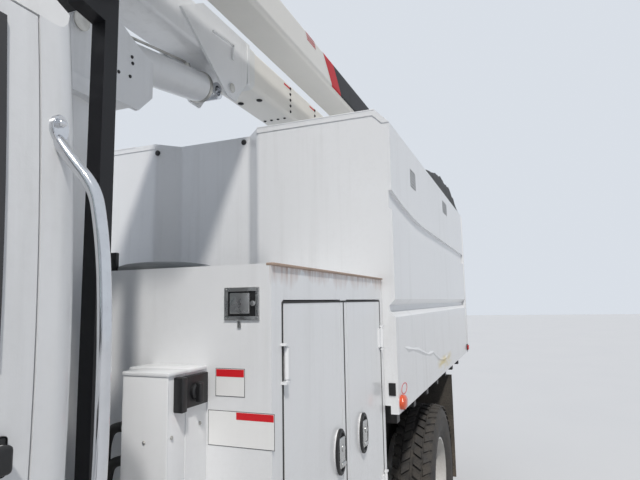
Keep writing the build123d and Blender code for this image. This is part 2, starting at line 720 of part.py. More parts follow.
# Chip box: floor with long sills, sides, front wall with a recess, roof
groove_depth = 30
sweep_depth = 16
sweep_low = 2172
sweep_height = 98
sweep_rise = 80
sweep_bend_x = box_front - 1010
with BuildPart() as chip_floor:
    block(box_rear, box_front - box_wall, -box_half + box_wall, box_half - box_wall, box_floor,
          box_floor + box_wall)
    for side in (1, -1):
        block(box_rear + 20, box_front - 80, side * (frame_half - 85), side * frame_half, frame_top,
              box_floor)
    for n in range(7):
        x = box_front - 150 - n * 430
        block(x - 30, x + 30, -box_half + box_wall, box_half - box_wall, box_floor - 70, box_floor)
chip_floor.part.label = "chip_floor"
export_step(chip_floor.part, "parts/chip_floor.step")

gate_bottom = box_floor
gate_hinge_x = box_rear - gate_gap - gate_thick
gate_hinge_y = -box_half - 12
gate_hinge_z = (gate_bottom + 150, box_side_top - 300)
knuckle_length = 120
with BuildPart() as chip_sides:
    for z in gate_hinge_z:
        rod_z(gate_hinge_x, gate_hinge_y, 9, z - 14, z + knuckle_length + 14)
        for low in (z - 14, z + knuckle_length + 6):
            block(gate_hinge_x - 9, box_rear + 40, gate_hinge_y - 18, gate_hinge_y + 3, low, low + 8)
            block(box_rear + 10, box_rear + 40, gate_hinge_y, -box_half + 5, low, low + 8)
    for side in (1, -1):
        y_out = side * box_half
        y_in = side * (box_half - box_wall)
        y_groove = side * (box_half - groove_depth)
        with BuildSketch(Plane.YZ.offset(box_rear)):
            Polygon((y_in, box_floor), (y_out, box_floor), (y_out, 1700), (y_groove, 1730),
                    (y_groove, 1760), (y_out, 1790), (y_out, box_side_top), (y_in, box_side_top),
                    align=None)
        extrude(amount=box_length)
        with BuildSketch(side_plane(y_out) if side > 0 else side_plane(y_out + sweep_depth)):
            with BuildLine():
                Line((box_rear - 1, sweep_low), (sweep_bend_x, sweep_low))
                TangentArc((sweep_bend_x, sweep_low), (box_front + 1, sweep_low + sweep_rise), tangent=(1, 0))
                Line((box_front + 1, sweep_low + sweep_rise),
                     (box_front + 1, sweep_low + sweep_rise + sweep_height))
                TangentArc((sweep_bend_x, sweep_low + sweep_height),
                           (box_front + 1, sweep_low + sweep_rise + sweep_height), tangent=(1, 0))
                Line((sweep_bend_x, sweep_low + sweep_height), (box_rear - 1, sweep_low + sweep_height))
                Line((box_rear - 1, sweep_low + sweep_height), (box_rear - 1, sweep_low))
            make_face()
        extrude(amount=sweep_depth, mode=Mode.SUBTRACT)
chip_sides.part.label = "chip_sides"
export_step(chip_sides.part, "parts/chip_sides.step")

roof_thick = 30
corner = box_top - box_side_top
wall_line = [(0, box_half - box_wall), (0, recess_left), (-recess_depth, recess_left - 110),
             (-recess_depth, recess_right + 110), (0, recess_right), (0, -box_half + box_wall)]
with BuildPart() as chip_front:
    with BuildSketch(Plane.XY.offset(box_floor + box_wall)):
        Polygon(*[(box_front + x, y) for x, y in wall_line],
                *[(box_front - box_wall + x, y) for x, y in reversed(wall_line)], align=None)
    extrude(amount=box_top - roof_thick - box_floor - box_wall - seat_gap)
    bends = chip_front.edges().filter_by(Axis.Z).filter_by_position(Axis.Y, recess_right - 5,
                                                                    recess_left + 5)
    fillet(bends, radius=45)
    with BuildSketch(Plane.YZ.offset(box_front - 400)):
        Polygon((-box_half, box_floor), (box_half, box_floor), (box_half, box_side_top - seat_gap),
                (box_half - box_wall, box_side_top - seat_gap),
                (box_half - corner - 13, box_top - roof_thick - seat_gap),
                (-box_half + corner + 13, box_top - roof_thick - seat_gap),
                (-box_half + box_wall, box_side_top - seat_gap), (-box_half, box_side_top - seat_gap),
                align=None)
    extrude(amount=500, mode=Mode.INTERSECT)
chip_front.part.label = "chip_front"
export_step(chip_front.part, "parts/chip_front.step")

with BuildPart() as chip_roof:
    with BuildSketch(Plane.YZ.offset(box_rear)):
        Polygon((-box_half, box_side_top), (-box_half + corner, box_top), (box_half - corner, box_top),
                (box_half, box_side_top), (box_half - box_wall, box_side_top),
                (box_half - corner - 12, box_top - roof_thick),
                (-box_half + corner + 12, box_top - roof_thick), (-box_half + box_wall, box_side_top),
                align=None)
    extrude(amount=box_length + 4)
    with BuildSketch(Plane.XY.offset(box_top - roof_thick - 10)):
        Polygon((box_front + 20, recess_left), (box_front, recess_left),
                (box_front - recess_depth, recess_left - 110),
                (box_front - recess_depth, recess_right + 110), (box_front, recess_right),
                (box_front + 20, recess_right), align=None)
    extrude(amount=roof_thick + 20, mode=Mode.SUBTRACT)
chip_roof.part.label = "chip_roof"
export_step(chip_roof.part, "parts/chip_roof.step")

# Rear door of the chip box, hinged on the passenger's side
with BuildPart() as chip_gate:
    block(box_rear - gate_gap - gate_thick, box_rear - gate_gap, -box_half, box_half, gate_bottom + 10,
          box_side_top - 5)
    for y0, y1 in ((-box_half + 60, -410), (-370, 370), (410, box_half - 60)):
        block(box_rear - gate_gap - gate_thick - 10, box_rear - gate_gap - 25, y0, y1, gate_bottom + 90,
              box_side_top - 85, mode=Mode.SUBTRACT)
    for z in gate_hinge_z:
        rod_z(gate_hinge_x, gate_hinge_y, 18, z, z + knuckle_length)
        block(gate_hinge_x, gate_hinge_x + 18, -box_half - 12, -box_half + 20, z, z + knuckle_length)
        rod_z(gate_hinge_x, gate_hinge_y, 9 + seat_gap, z - 5, z + knuckle_length + 5, mode=Mode.SUBTRACT)
chip_gate.part.label = "chip_gate"
export_step(chip_gate.part, "parts/chip_gate.step")

# Mud flaps behind the rear wheels
flap_x = rear_axle_x - tyre_radius - 160
with BuildPart() as mud_flaps:
    for side in (1, -1):
        block(flap_x - 6, flap_x + 6, side * 640, side * (box_half - 10), 330, box_floor - 75)
        block(flap_x - 30, flap_x + 30, side * frame_half, side * 660, box_floor - 130, box_floor - 90)
mud_flaps.part.label = "mud_flaps"
export_step(mud_flaps.part, "parts/mud_flaps.step")

# Lamps: tail lamps, side markers and roof markers
with BuildPart() as lamps:
    for side in (1, -1):
        block(rear_frame - hitch_plate - 40, rear_frame - hitch_plate, side * 340, side * 420,
              frame_top - 120, frame_top - 40)
        block(box_front - 90, box_front - 30, side * box_half, side * (box_half + 14), box_floor + 30,
              box_floor + 70)
    for n in range(-2, 3):
        block(cab_back + 695, cab_back + 765, n * 330 - 45, n * 330 + 45, cab_roof + seat_gap,
              cab_roof + 30)
lamps.part.label = "lamps"
export_step(lamps.part, "parts/lamps.step")

# Steering knuckles
knuckle_fork = fork_height / 2
stub_radius = 40
stub_end = front_track_half + 60
for side, name in ((1, "left"), (-1, "right")):
    with BuildPart() as knuckle:
        for z0, z1 in ((beam_z + 62, beam_z + knuckle_fork + 15), (beam_z - knuckle_fork - 15, beam_z - 62)):
            rod_z(front_axle_x, side * kingpin_y, 50, z0, z1)
            block(front_axle_x - 45, front_axle_x + 45, side * kingpin_y, side * (kingpin_y + 90), z0, z1)
        block(front_axle_x - 45, front_axle_x + 45, side * (kingpin_y + 55), side * (kingpin_y + 90),
              beam_z - knuckle_fork - 15, beam_z + knuckle_fork + 15)
        rod_y(front_axle_x, axle_z, stub_radius, side * (kingpin_y + 80), side * stub_end)
        rod_z(front_axle_x, side * kingpin_y, kingpin_radius + 0.2, beam_z - knuckle_fork - 20,
              beam_z + knuckle_fork + 20, mode=Mode.SUBTRACT)
    knuckle.part.label = f"knuckle_{name}"
    export_step(knuckle.part, f"parts/knuckle_{name}.step")


# Wheels: tyre and disc made on the axle line
def tyre_ring(x, y, side):
    """One tyre centred on y, added to the piece being made."""
    half = tyre_width / 2
    with BuildSketch(Plane.YZ.offset(x)) as section:
        with BuildLine():
            Polyline((y - half + 30, axle_z + rim_radius), (y + half - 30, axle_z + rim_radius),
                     (y + half, axle_z + rim_radius + 70), (y + half, axle_z + tyre_radius - 70),
                     (y + half - 25, axle_z + tyre_radius - 8), (y + half - 60, axle_z + tyre_radius),
                     (y - half + 60, axle_z + tyre_radius), (y - half + 25, axle_z + tyre_radius - 8),
                     (y - half, axle_z + tyre_radius - 70), (y - half, axle_z + rim_radius + 70),
                     close=True)
        make_face()
    revolve(section.sketch, axis=Axis((x, 0, axle_z), (0, 1, 0)))


def disc_wheel(x, y, side, dish, bore):
    """A steel disc wheel; dish is how far its disc stands out of the tyre's middle."""
    half = tyre_width / 2 - 32
    face = y + side * dish
    rim_in = rim_radius - seat_gap
    flange = y + side * min(dish - 30, half)
    with BuildSketch(Plane.YZ.offset(x)) as section:
        Polygon((y - half, axle_z + rim_in), (y + half, axle_z + rim_in), (y + half, axle_z + rim_in - 12),
                (y - half, axle_z + rim_in - 12), align=None)
        Polygon((face - side * 6, axle_z + bore), (face + side * 6, axle_z + bore),
                (face + side * 6, axle_z + 180), (flange, axle_z + rim_in - 6),
                (flange - side * 12, axle_z + rim_in - 6), (face - side * 6, axle_z + 180), align=None)
    revolve(section.sketch, axis=Axis((x, 0, axle_z), (0, 1, 0)))


def hand_holes(x, y0, y1):
    """Ten round hand holes through the disc."""
    with BuildSketch(side_plane(max(y0, y1))) as holes:
        with Locations((x, axle_z)):
            with PolarLocations(215, 10):
                Circle(22)
    extrude(holes.sketch, amount=abs(y1 - y0), mode=Mode.SUBTRACT)


for side, name in ((1, "left"), (-1, "right")):
    y = side * front_track_half
    with BuildPart() as tyre_front:
        tyre_ring(front_axle_x, y, side)
    tyre_front.part.label = f"tyre_front_{name}"
    export_step(tyre_front.part, f"parts/tyre_front_{name}.step")
    with BuildPart() as rim_front:
        disc_wheel(front_axle_x, y, side, 80, stub_radius + 30)
        hand_holes(front_axle_x, y + side * 20, y + side * 120)
        rod_y(front_axle_x, axle_z, stub_radius + 45, y - side * 60, y + side * 100)
        rod_y(front_axle_x, axle_z, stub_radius + seat_gap, y - side * 80, side * (stub_end + gap),
              mode=Mode.SUBTRACT)
    rim_front.part.label = f"rim_front_{name}"
    export_step(rim_front.part, f"parts/rim_front_{name}.step")

    y_outer = side * (rear_outer_face - tyre_width / 2)
    y_inner = y_outer - side * dual_spacing
    with BuildPart() as tyre_rear:
        tyre_ring(rear_axle_x, y_outer, side)
        tyre_ring(rear_axle_x, y_inner, side)
    tyre_rear.part.label = f"tyres_rear_{name}"
    export_step(tyre_rear.part, f"parts/tyres_rear_{name}.step")
    hub_mid = (y_outer + y_inner) / 2
    with BuildPart() as rim_rear:
        disc_wheel(rear_axle_x, y_outer, -side, abs(y_outer - hub_mid) - 7, 80)
        disc_wheel(rear_axle_x, y_inner, side, abs(y_outer - hub_mid) - 7, 80)
        hand_holes(rear_axle_x, hub_mid - side * 60, hub_mid + side * 60)
        rod_y(rear_axle_x, axle_z, 120, hub_mid - side * 120, hub_mid + side * 150)
        rod_y(rear_axle_x, axle_z, 55 + seat_gap, hub_mid - side * 130, side * (hub_inner_y + 185),
              mode=Mode.SUBTRACT)
    rim_rear.part.label = f"rims_rear_{name}"
    export_step(rim_rear.part, f"parts/rims_rear_{name}.step")

# Turret: bearing, box and two side plates that hold the lower boom
turret_gap = 8
near_in = boom_y + boom_width / 2 + turret_gap
far_in = boom_y - boom_width / 2 - turret_gap
turret_bottom = pedestal_top + 40

with BuildPart() as turret:
    rod_z(pedestal_x, 0, pedestal_radius + 20, pedestal_top + seat_gap, turret_bottom + 10)
    block(pedestal_x - 330, pedestal_x + 330, far_in - plate_thick, near_in + plate_thick,
          turret_bottom, turret_bottom + 90)
    for y0, y1 in ((near_in, near_in + plate_thick), (far_in - plate_thick, far_in)):
        with BuildSketch(side_plane(y1)):
            with BuildLine():
                Polyline((pedestal_x + 420, turret_bottom), (pedestal_x - 370, turret_bottom),
                         (pedestal_x - 460, turret_bottom + 90), (pedestal_x - 460, turret_bottom + 260))
                ThreePointArc((pedestal_x - 460, turret_bottom + 260),
                              (pedestal_x - 170, turret_bottom + 410),
                              (boom_pivot_x - 150, boom_pivot_z + 20))
                Line((boom_pivot_x - 150, boom_pivot_z + 20), (boom_pivot_x - 60, boom_pivot_z + 140))
                Line((boom_pivot_x - 60, boom_pivot_z + 140), (boom_pivot_x + 80, boom_pivot_z + 140))
                Line((boom_pivot_x + 80, boom_pivot_z + 140), (pedestal_x + 420, boom_pivot_z + 20))
                Line((pedestal_x + 420, boom_pivot_z + 20), (pedestal_x + 420, turret_bottom))
            make_face()
        extrude(amount=plate_thick)
    block(pedestal_x + 395, pedestal_x + 420, far_in, near_in, turret_bottom, turret_bottom + 500)
    block(pedestal_x - 460, pedestal_x - 435, far_in, near_in, turret_bottom + 90, turret_bottom + 170)
    rod_y(boom_pivot_x, boom_pivot_z, 42, far_in - plate_thick - 15, near_in + plate_thick + 15)
    rod_y(cylinder_pin_x, cylinder_pin_z, 35, far_in - plate_thick - 10, near_in + plate_thick + 10)
turret.part.label = "turret"
export_step(turret.part, "parts/turret.step")

# Lower boom: steel base and elbow, with a fibreglass length between them
boom_top = boom_bottom + boom_height
boom_near = boom_y + boom_width / 2
boom_far = boom_y - boom_width / 2
insert_back = elbow_x + 700
lap = 160


def boom_tube(x0, x1, y, width, z0, height, wall, radius):
    """A rounded box tube along X, added to the piece being made."""
    with BuildSketch(Plane.YZ.offset(min(x0, x1))) as section:
        with Locations((y, z0 + height / 2)):
            RectangleRounded(width, height, radius)
            RectangleRounded(width - 2 * wall, height - 2 * wall, max(radius - wall, 2),
                             mode=Mode.SUBTRACT)
    extrude(section.sketch, amount=abs(x1 - x0))


wedge = [(rod_pin_x + 500, boom_bottom + 132), (rod_pin_x + 300, boom_top + 15),
         (rod_pin_x - 220, boom_top + 15), (rod_pin_x - 190, boom_bottom - 15),
         (rod_pin_x - 60, rod_pin_z - 62), (rod_pin_x + 40, rod_pin_z - 58)]
with BuildPart() as lower_boom_steel:
    boom_tube(boom_pivot_x - 40, steel_end, boom_y, boom_width, boom_bottom, boom_height, boom_wall, 20)
    rod_y(boom_pivot_x, boom_pivot_z, 110, boom_far, boom_near)
    block(boom_pivot_x - 140, boom_pivot_x, boom_far, boom_near, boom_bottom + 50, boom_top)
    for y0, y1 in ((boom_near, boom_near + 14), (boom_far - 14, boom_far)):
        slab(wedge, y0, y1)
        rod_y(rod_pin_x, rod_pin_z, 30, y0 - 8, y1 + 8)
    boom_tube(steel_end - 2, steel_end + 22, boom_y, boom_width + 36, boom_bottom - 18, boom_height + 36,
              18 + boom_wall, 8)
    boom_tube(insert_back, elbow_x, boom_y, boom_width, boom_bottom, boom_height, boom_wall, 20)
    rod_y(elbow_x, elbow_z, elbow_radius, boom_far - 10, boom_near + 10)
    rod_y(elbow_x, elbow_z, 130, boom_near, upper_y - upper_width / 2 - gap)
    rod_y(elbow_x, elbow_z, 60, boom_near, upper_y + upper_width / 2 + 25)
    rod_y(boom_pivot_x, boom_pivot_z, 42.2, boom_far - 5, boom_near + 5, mode=Mode.SUBTRACT)
lower_boom_steel.part.label = "lower_boom_steel"
export_step(lower_boom_steel.part, "parts/lower_boom_steel.step")

with BuildPart() as lower_boom_insert:
    boom_tube(steel_end + lap, insert_back - lap, boom_y, boom_width - 2 * boom_wall - 2 * seat_gap,
              boom_bottom + boom_wall + seat_gap, boom_height - 2 * boom_wall - 2 * seat_gap, 14, 30)
lower_boom_insert.part.label = "lower_boom_insert"
export_step(lower_boom_insert.part, "parts/lower_boom_insert.step")

# Lift cylinder: barrel on the turret, rod with its eye between the wedge plates
lift_dx = rod_pin_x - cylinder_pin_x
lift_dz = rod_pin_z - cylinder_pin_z
lift_length = hypot(lift_dx, lift_dz)
lift_dir = (lift_dx / lift_length, 0, lift_dz / lift_length)


def lift_plane(distance):
    """A plane square to the cylinder, this far from its base pin."""
    return Plane(origin=(cylinder_pin_x + lift_dir[0] * distance, boom_y,
                         cylinder_pin_z + lift_dir[2] * distance), x_dir=(0, 1, 0), z_dir=lift_dir)


with BuildPart() as lift_barrel:
    rod_y(cylinder_pin_x, cylinder_pin_z, 75, boom_y - 60, boom_y + 60)
    with BuildSketch(lift_plane(50)):
        Circle(barrel_radius)
    extrude(amount=lift_length - 170)
    with BuildSketch(lift_plane(90)):
        Circle(rod_radius + 0.3)
    extrude(amount=lift_length, mode=Mode.SUBTRACT)
    rod_y(cylinder_pin_x, cylinder_pin_z, 35.2, boom_y - 80, boom_y + 80, mode=Mode.SUBTRACT)
lift_barrel.part.label = "lift_barrel"
export_step(lift_barrel.part, "parts/lift_barrel.step")

with BuildPart() as lift_rod:
    with BuildSketch(lift_plane(95)):
        Circle(rod_radius)
    extrude(amount=lift_length - 130)
    rod_y(rod_pin_x, rod_pin_z, 52, boom_y - 45, boom_y + 45)
    rod_y(rod_pin_x, rod_pin_z, 31, boom_y - 60, boom_y + 60, mode=Mode.SUBTRACT)
lift_rod.part.label = "lift_rod"
export_step(lift_rod.part, "parts/lift_rod.step")

# Upper boom: steel root and tip with a long fibreglass box between
upper_near = upper_y + upper_width / 2
upper_far = upper_y - upper_width / 2
root_end = elbow_x + 900
tip_start = upper_tip_x - 350
with BuildPart() as upper_boom_steel:
    boom_tube(elbow_x, root_end, upper_y, upper_width, upper_bottom, upper_height, boom_wall, 20)
    rod_y(elbow_x, elbow_z, 165, upper_far, upper_near)
    boom_tube(tip_start, upper_tip_x, upper_y, upper_width, upper_bottom, upper_height, boom_wall, 20)
    rod_y(upper_tip_x, bucket_pivot_z, 118, upper_far, upper_near)
    rod_y(elbow_x, elbow_z, 60.2, upper_far - 5, upper_near + 5, mode=Mode.SUBTRACT)
    rod_y(upper_tip_x, bucket_pivot_z, 40.2, upper_far - 5, upper_near + 5, mode=Mode.SUBTRACT)
upper_boom_steel.part.label = "upper_boom_steel"
export_step(upper_boom_steel.part, "parts/upper_boom_steel.step")

with BuildPart() as upper_boom_insert:
    boom_tube(root_end - lap, tip_start + lap, upper_y, upper_width - 2 * boom_wall - 2 * seat_gap,
              upper_bottom + boom_wall + seat_gap, upper_height - 2 * boom_wall - 2 * seat_gap, 10, 30)
upper_boom_insert.part.label = "upper_boom_insert"
export_step(upper_boom_insert.part, "parts/upper_boom_insert.step")

# Bucket on its levelling shaft
bucket_half = bucket_side / 2
bucket_in = bucket_y - bucket_half
with BuildPart() as bucket:
    with BuildSketch(Plane.XY.offset(bucket_bottom)):
        with Locations((upper_tip_x, bucket_y)):
            RectangleRounded(bucket_side, bucket_side, 70)
    extrude(amount=bucket_height)
    with BuildSketch(Plane.XY.offset(bucket_bottom + bucket_wall)):
        with Locations((upper_tip_x, bucket_y)):
            RectangleRounded(bucket_side - 2 * bucket_wall, bucket_side - 2 * bucket_wall, 60)
    extrude(amount=bucket_height, mode=Mode.SUBTRACT)
    block(upper_tip_x - 110, upper_tip_x + 110, bucket_in - 25, bucket_in + 5, bucket_pivot_z - 300,
          bucket_pivot_z + 200)
    rod_y(upper_tip_x, bucket_pivot_z, 40, upper_far - 20, bucket_in - 10)
bucket.part.label = "bucket"
export_step(bucket.part, "parts/bucket.step")
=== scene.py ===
"""Dresses the forestry bucket truck: paint, tyres, latches, hoses, lamps and marks."""
from math import atan2, cos, pi, radians, sin

import bmesh
import bpy
from mathutils import Matrix, Vector


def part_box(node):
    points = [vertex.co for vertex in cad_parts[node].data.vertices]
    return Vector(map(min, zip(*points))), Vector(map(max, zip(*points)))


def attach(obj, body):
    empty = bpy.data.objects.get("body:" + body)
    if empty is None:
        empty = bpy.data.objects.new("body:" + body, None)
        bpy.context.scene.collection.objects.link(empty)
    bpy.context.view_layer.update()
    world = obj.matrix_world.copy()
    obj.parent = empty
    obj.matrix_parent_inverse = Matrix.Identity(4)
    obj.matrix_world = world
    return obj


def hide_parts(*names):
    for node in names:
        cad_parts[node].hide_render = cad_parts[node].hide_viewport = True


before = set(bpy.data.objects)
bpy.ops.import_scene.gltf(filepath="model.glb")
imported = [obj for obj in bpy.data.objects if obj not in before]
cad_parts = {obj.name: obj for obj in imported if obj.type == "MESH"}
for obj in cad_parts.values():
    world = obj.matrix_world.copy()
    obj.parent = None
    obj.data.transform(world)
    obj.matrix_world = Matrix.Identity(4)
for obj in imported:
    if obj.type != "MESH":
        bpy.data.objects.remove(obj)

bl_info = {
    "name": "Forestry Bucket Truck",
    "version": (1, 0, 0),
    "blender": (4, 5, 0),
    "location": "View3D > Sidebar > Bucket Truck",
    "description": "Builds the finish and small parts of a forestry bucket truck",
    "category": "Object",
}

# Boxes and faces of the frame's own solids, in metres
CHIP_LOW, CHIP_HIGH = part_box("chip_sides")
TOOL_LOW, TOOL_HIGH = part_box("tool_boxes")
CAB_LOW, CAB_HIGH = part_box("cab_shell")
GUARD_LOW, GUARD_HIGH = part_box("cab_guard")
BUCKET_LOW, BUCKET_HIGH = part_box("bucket")
GATE_LOW, GATE_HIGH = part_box("chip_gate")
DOOR_LOW, DOOR_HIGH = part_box("door_left")
FRONT_DOOR_LOW, FRONT_DOOR_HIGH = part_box("tool_door_left_front")
REAR_DOOR_LOW, REAR_DOOR_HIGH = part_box("tool_door_left_rear")
ROOF_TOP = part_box("chip_roof")[1][2]
BOOM_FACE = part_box("upper_boom_insert")[1][1]
TURRET_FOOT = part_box("turret")[0][2]
FRAME_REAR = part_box("frame")[0][0]
GRILLE_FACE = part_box("grille")[1][0]

# Y of the turret's two side plates, top of the tool boxes, and the foot and belt line of the windscreen
TURRET_PLATE = (-0.058, 0.248)
TOOL_TOP = 1.895
COWL_X = CAB_LOW[0] + 1.455
BELT_Z = 1.70
SIDES = ((1, "left"), (-1, "right"))

# X and Z of the lift's pins, X of the turret's middle and Y of the lower boom's
SHOULDER_PIN = (1.42, 3.36)
CYLINDER_FOOT, CYLINDER_EYE = (1.12, 2.90), (-0.04, 3.09)
ELBOW = (-4.36, 3.42)
TURRET_X = 1.14
BOOM_Y = 0.095


def cab_side(z):
    """How far out the cab's bulged side stands at a height."""
    return 1.05 - 0.0755 * (z - 1.64) ** 2


class TruckPaint(bpy.types.PropertyGroup):
    """Colours of the painted and moulded parts."""
    white: bpy.props.FloatVectorProperty(
        name="White paint", description="Colour of the cab, boxes and steel booms",
        default=(0.80, 0.81, 0.82), size=3, min=0, max=1, subtype="COLOR")
    black: bpy.props.FloatVectorProperty(
        name="Black paint", description="Colour of the frame and the cab guard",
        default=(0.018, 0.018, 0.02), size=3, min=0, max=1, subtype="COLOR")
    fibreglass: bpy.props.FloatVectorProperty(
        name="Fibreglass", description="Colour of the insulating boom lengths",
        default=(0.76, 0.745, 0.70), size=3, min=0, max=1, subtype="COLOR")
    band: bpy.props.FloatVectorProperty(
        name="Boom band", description="Colour of the dark band on the upper boom",
        default=(0.012, 0.012, 0.014), size=3, min=0, max=1, subtype="COLOR")
    stripe: bpy.props.FloatVectorProperty(
        name="Boom stripe", description="Colour of the slanted stripe on the band",
        default=(0.55, 0.012, 0.02), size=3, min=0, max=1, subtype="COLOR")


class TruckWear(bpy.types.PropertyGroup):
    """How used the machine looks."""
    dust: bpy.props.FloatProperty(
        name="Road dust", description="Share of dust on the lower panels",
        default=0.45, min=0, max=1, subtype="FACTOR")
    streaks: bpy.props.FloatProperty(
        name="Rain streaks", description="Strength of the dirt that rain left on the panels",
        default=0.15, min=0, max=1, subtype="FACTOR")
    chips: bpy.props.FloatProperty(
        name="Paint chips", description="Share of chipped paint",
        default=0.25, min=0, max=1, subtype="FACTOR")
    tread_depth: bpy.props.FloatProperty(
        name="Tread depth", description="Depth of the tyre grooves",
        default=0.014, min=0.004, max=0.025, unit="LENGTH")


class TruckView(bpy.types.PropertyGroup):
    """The photographer's place and lens."""
    place: bpy.props.FloatVectorProperty(
        name="Place", description="Where the camera stands", default=(2.54, 1.82, 1.78), size=3,
        subtype="XYZ", unit="LENGTH")
    turn: bpy.props.FloatVectorProperty(
        name="Turn", description="The camera's rotation",
        default=(radians(96.99), radians(0.99), radians(111.67)), size=3, subtype="EULER")
    lens: bpy.props.FloatProperty(
        name="Lens", description="Focal length on a 36 mm wide sensor", default=28.7, min=10, max=200,
        unit="CAMERA")


# Shader node groups

def new_group(name, inputs, outputs):
    """An empty node group with float inputs, and the nodes that read and write it."""
    group = bpy.data.node_groups.new(name, "ShaderNodeTree")
    for label, default in inputs:
        socket = group.interface.new_socket(label, in_out="INPUT", socket_type="NodeSocketFloat")
        socket.default_value = default
    for label, kind in outputs:
        group.interface.new_socket(label, in_out="OUTPUT", socket_type=kind)
    return group, group.nodes.new("NodeGroupInput"), group.nodes.new("NodeGroupOutput")


def noise(tree, scale, detail=4.0, stretch=None, roughness=0.55):
    """A noise texture in the piece's own metres, with an optional stretch per axis."""
    node = tree.nodes.new("ShaderNodeTexNoise")
    node.inputs["Scale"].default_value = scale
    node.inputs["Detail"].default_value = detail
    node.inputs["Roughness"].default_value = roughness
    place = tree.nodes.new("ShaderNodeTexCoord")
    if stretch:
        mapping = tree.nodes.new("ShaderNodeMapping")
        mapping.inputs["Scale"].default_value = stretch
        tree.links.new(place.outputs["Object"], mapping.inputs["Vector"])
        tree.links.new(mapping.outputs["Vector"], node.inputs["Vector"])
    else:
        tree.links.new(place.outputs["Object"], node.inputs["Vector"])
    return node.outputs["Fac"]


def math(tree, operation, first, second=None, clamp=False):
    """A Math node on sockets or plain numbers."""
    node = tree.nodes.new("ShaderNodeMath")
    node.operation = operation
    node.use_clamp = clamp
    for index, value in enumerate((first, second)):
        if value is None:
            continue
        if isinstance(value, (int, float)):
            node.inputs[index].default_value = value
        else:
            tree.links.new(value, node.inputs[index])
    return node.outputs["Value"]


def times(tree, first, second, clamp=False):
    """A product of sockets or numbers."""
    return math(tree, "MULTIPLY", first, second, clamp)


def plus(tree, first, second, clamp=False):
    """A sum of sockets or numbers."""
    return math(tree, "ADD", first, second, clamp)


def position(tree):
    """X, Y and Z of the piece's own place, in metres."""
    place = tree.nodes.new("ShaderNodeTexCoord")
    split = tree.nodes.new("ShaderNodeSeparateXYZ")
    tree.links.new(place.outputs["Object"], split.inputs["Vector"])
    return split.outputs


def ramp(tree, value, low, high):
    """Value mapped from low..high to 0..1, clamped; low and high may be sockets."""
    node = tree.nodes.new("ShaderNodeMapRange")
    node.clamp = True
    tree.links.new(value, node.inputs["Value"])
    for name, limit in (("From Min", low), ("From Max", high)):
        if isinstance(limit, (int, float)):
            node.inputs[name].default_value = limit
        else:
            tree.links.new(limit, node.inputs[name])
    return node.outputs["Result"]


def blend_colour(tree, factor, first, second):
    """A colour mix; first and second are sockets or colours."""
    node = tree.nodes.new("ShaderNodeMix")
    node.data_type = "RGBA"
    if isinstance(factor, (int, float)):
        node.inputs[0].default_value = factor
    else:
        tree.links.new(factor, node.inputs[0])
    for index, value in ((6, first), (7, second)):
        if isinstance(value, bpy.types.NodeSocket):
            tree.links.new(value, node.inputs[index])
        else:
            node.inputs[index].default_value = (*value[:3], 1.0)
    return node.outputs[2]


def road_dust_group():
    """Dust that thins out with height."""
    group, start, end = new_group(
        "road_dust", (("Top", 1.4), ("Bottom", 0.5), ("Amount", 0.5)), (("Mask", "NodeSocketFloat"),))
    height = ramp(group, position(group)["Z"], start.outputs["Top"], start.outputs["Bottom"])
    patches = ramp(group, noise(group, 5.0, 6.0), 0.25, 0.75)
    specks = ramp(group, noise(group, 90.0, 2.0), 0.35, 0.7)
    cover = times(group, height, plus(group, times(group, patches, 0.6),
                                      times(group, specks, 0.4)))
    mask = times(group, cover, start.outputs["Amount"], clamp=True)
    group.links.new(mask, end.inputs["Mask"])
    return group


def rain_streak_group():
    """Thin dirty runs down a panel, over broad cloudy grime."""
    group, start, end = new_group("rain_streaks", (("Amount", 0.3),), (("Mask", "NodeSocketFloat"),))
    runs = ramp(group, noise(group, 16.0, 5.0, (1.0, 1.0, 0.06)), 0.52, 0.78)
    clouds = ramp(group, noise(group, 1.7, 5.0), 0.38, 0.72)
    fine = ramp(group, noise(group, 45.0, 4.0), 0.45, 0.75)
    total = plus(group, times(group, runs, plus(group, clouds, 0.35)),
                 times(group, times(group, clouds, fine), 0.35))
    group.links.new(times(group, total, start.outputs["Amount"], clamp=True), end.inputs["Mask"])
    return group


def paint_chip_group():
    """Small chips and the rust round them."""
    group, start, end = new_group(
        "paint_chips", (("Amount", 0.3), ("Size", 40.0)),
        (("Chip", "NodeSocketFloat"), ("Stain", "NodeSocketFloat")))
    cells = group.nodes.new("ShaderNodeTexVoronoi")
    place = group.nodes.new("ShaderNodeTexCoord")
    group.links.new(place.outputs["Object"], cells.inputs["Vector"])
    group.links.new(start.outputs["Size"], cells.inputs["Scale"])
    where = ramp(group, noise(group, 2.6, 5.0), 0.6, 0.75)
    ragged = plus(group, cells.outputs["Distance"], times(group, noise(group, 160.0), 0.25))
    limit = times(group, where, start.outputs["Amount"])
    chip = math(group, "LESS_THAN", ragged, times(group, limit, 0.75))
    stain = ramp(group, ragged, times(group, limit, 1.3), times(group, limit, 0.6))
    group.links.new(chip, end.inputs["Chip"])
    group.links.new(times(group, stain, where), end.inputs["Stain"])
    return group


def grain_group():
    """A fine height for orange peel, cast skin or moulded grain."""
    group, start, end = new_group("fine_grain", (("Scale", 300.0), ("Soft", 0.5)),
                                  (("Height", "NodeSocketFloat"),))
    place = group.nodes.new("ShaderNodeTexCoord")
    small = group.nodes.new("ShaderNodeTexNoise")
    group.links.new(place.outputs["Object"], small.inputs["Vector"])
    group.links.new(start.outputs["Scale"], small.inputs["Scale"])
    small.inputs["Detail"].default_value = 3.0
    broad = noise(group, 6.0, 3.0)
    total = plus(group, small.outputs["Fac"], times(group, broad, start.outputs["Soft"]))
    group.links.new(total, end.inputs["Height"])
    return group


GROUPS = {}


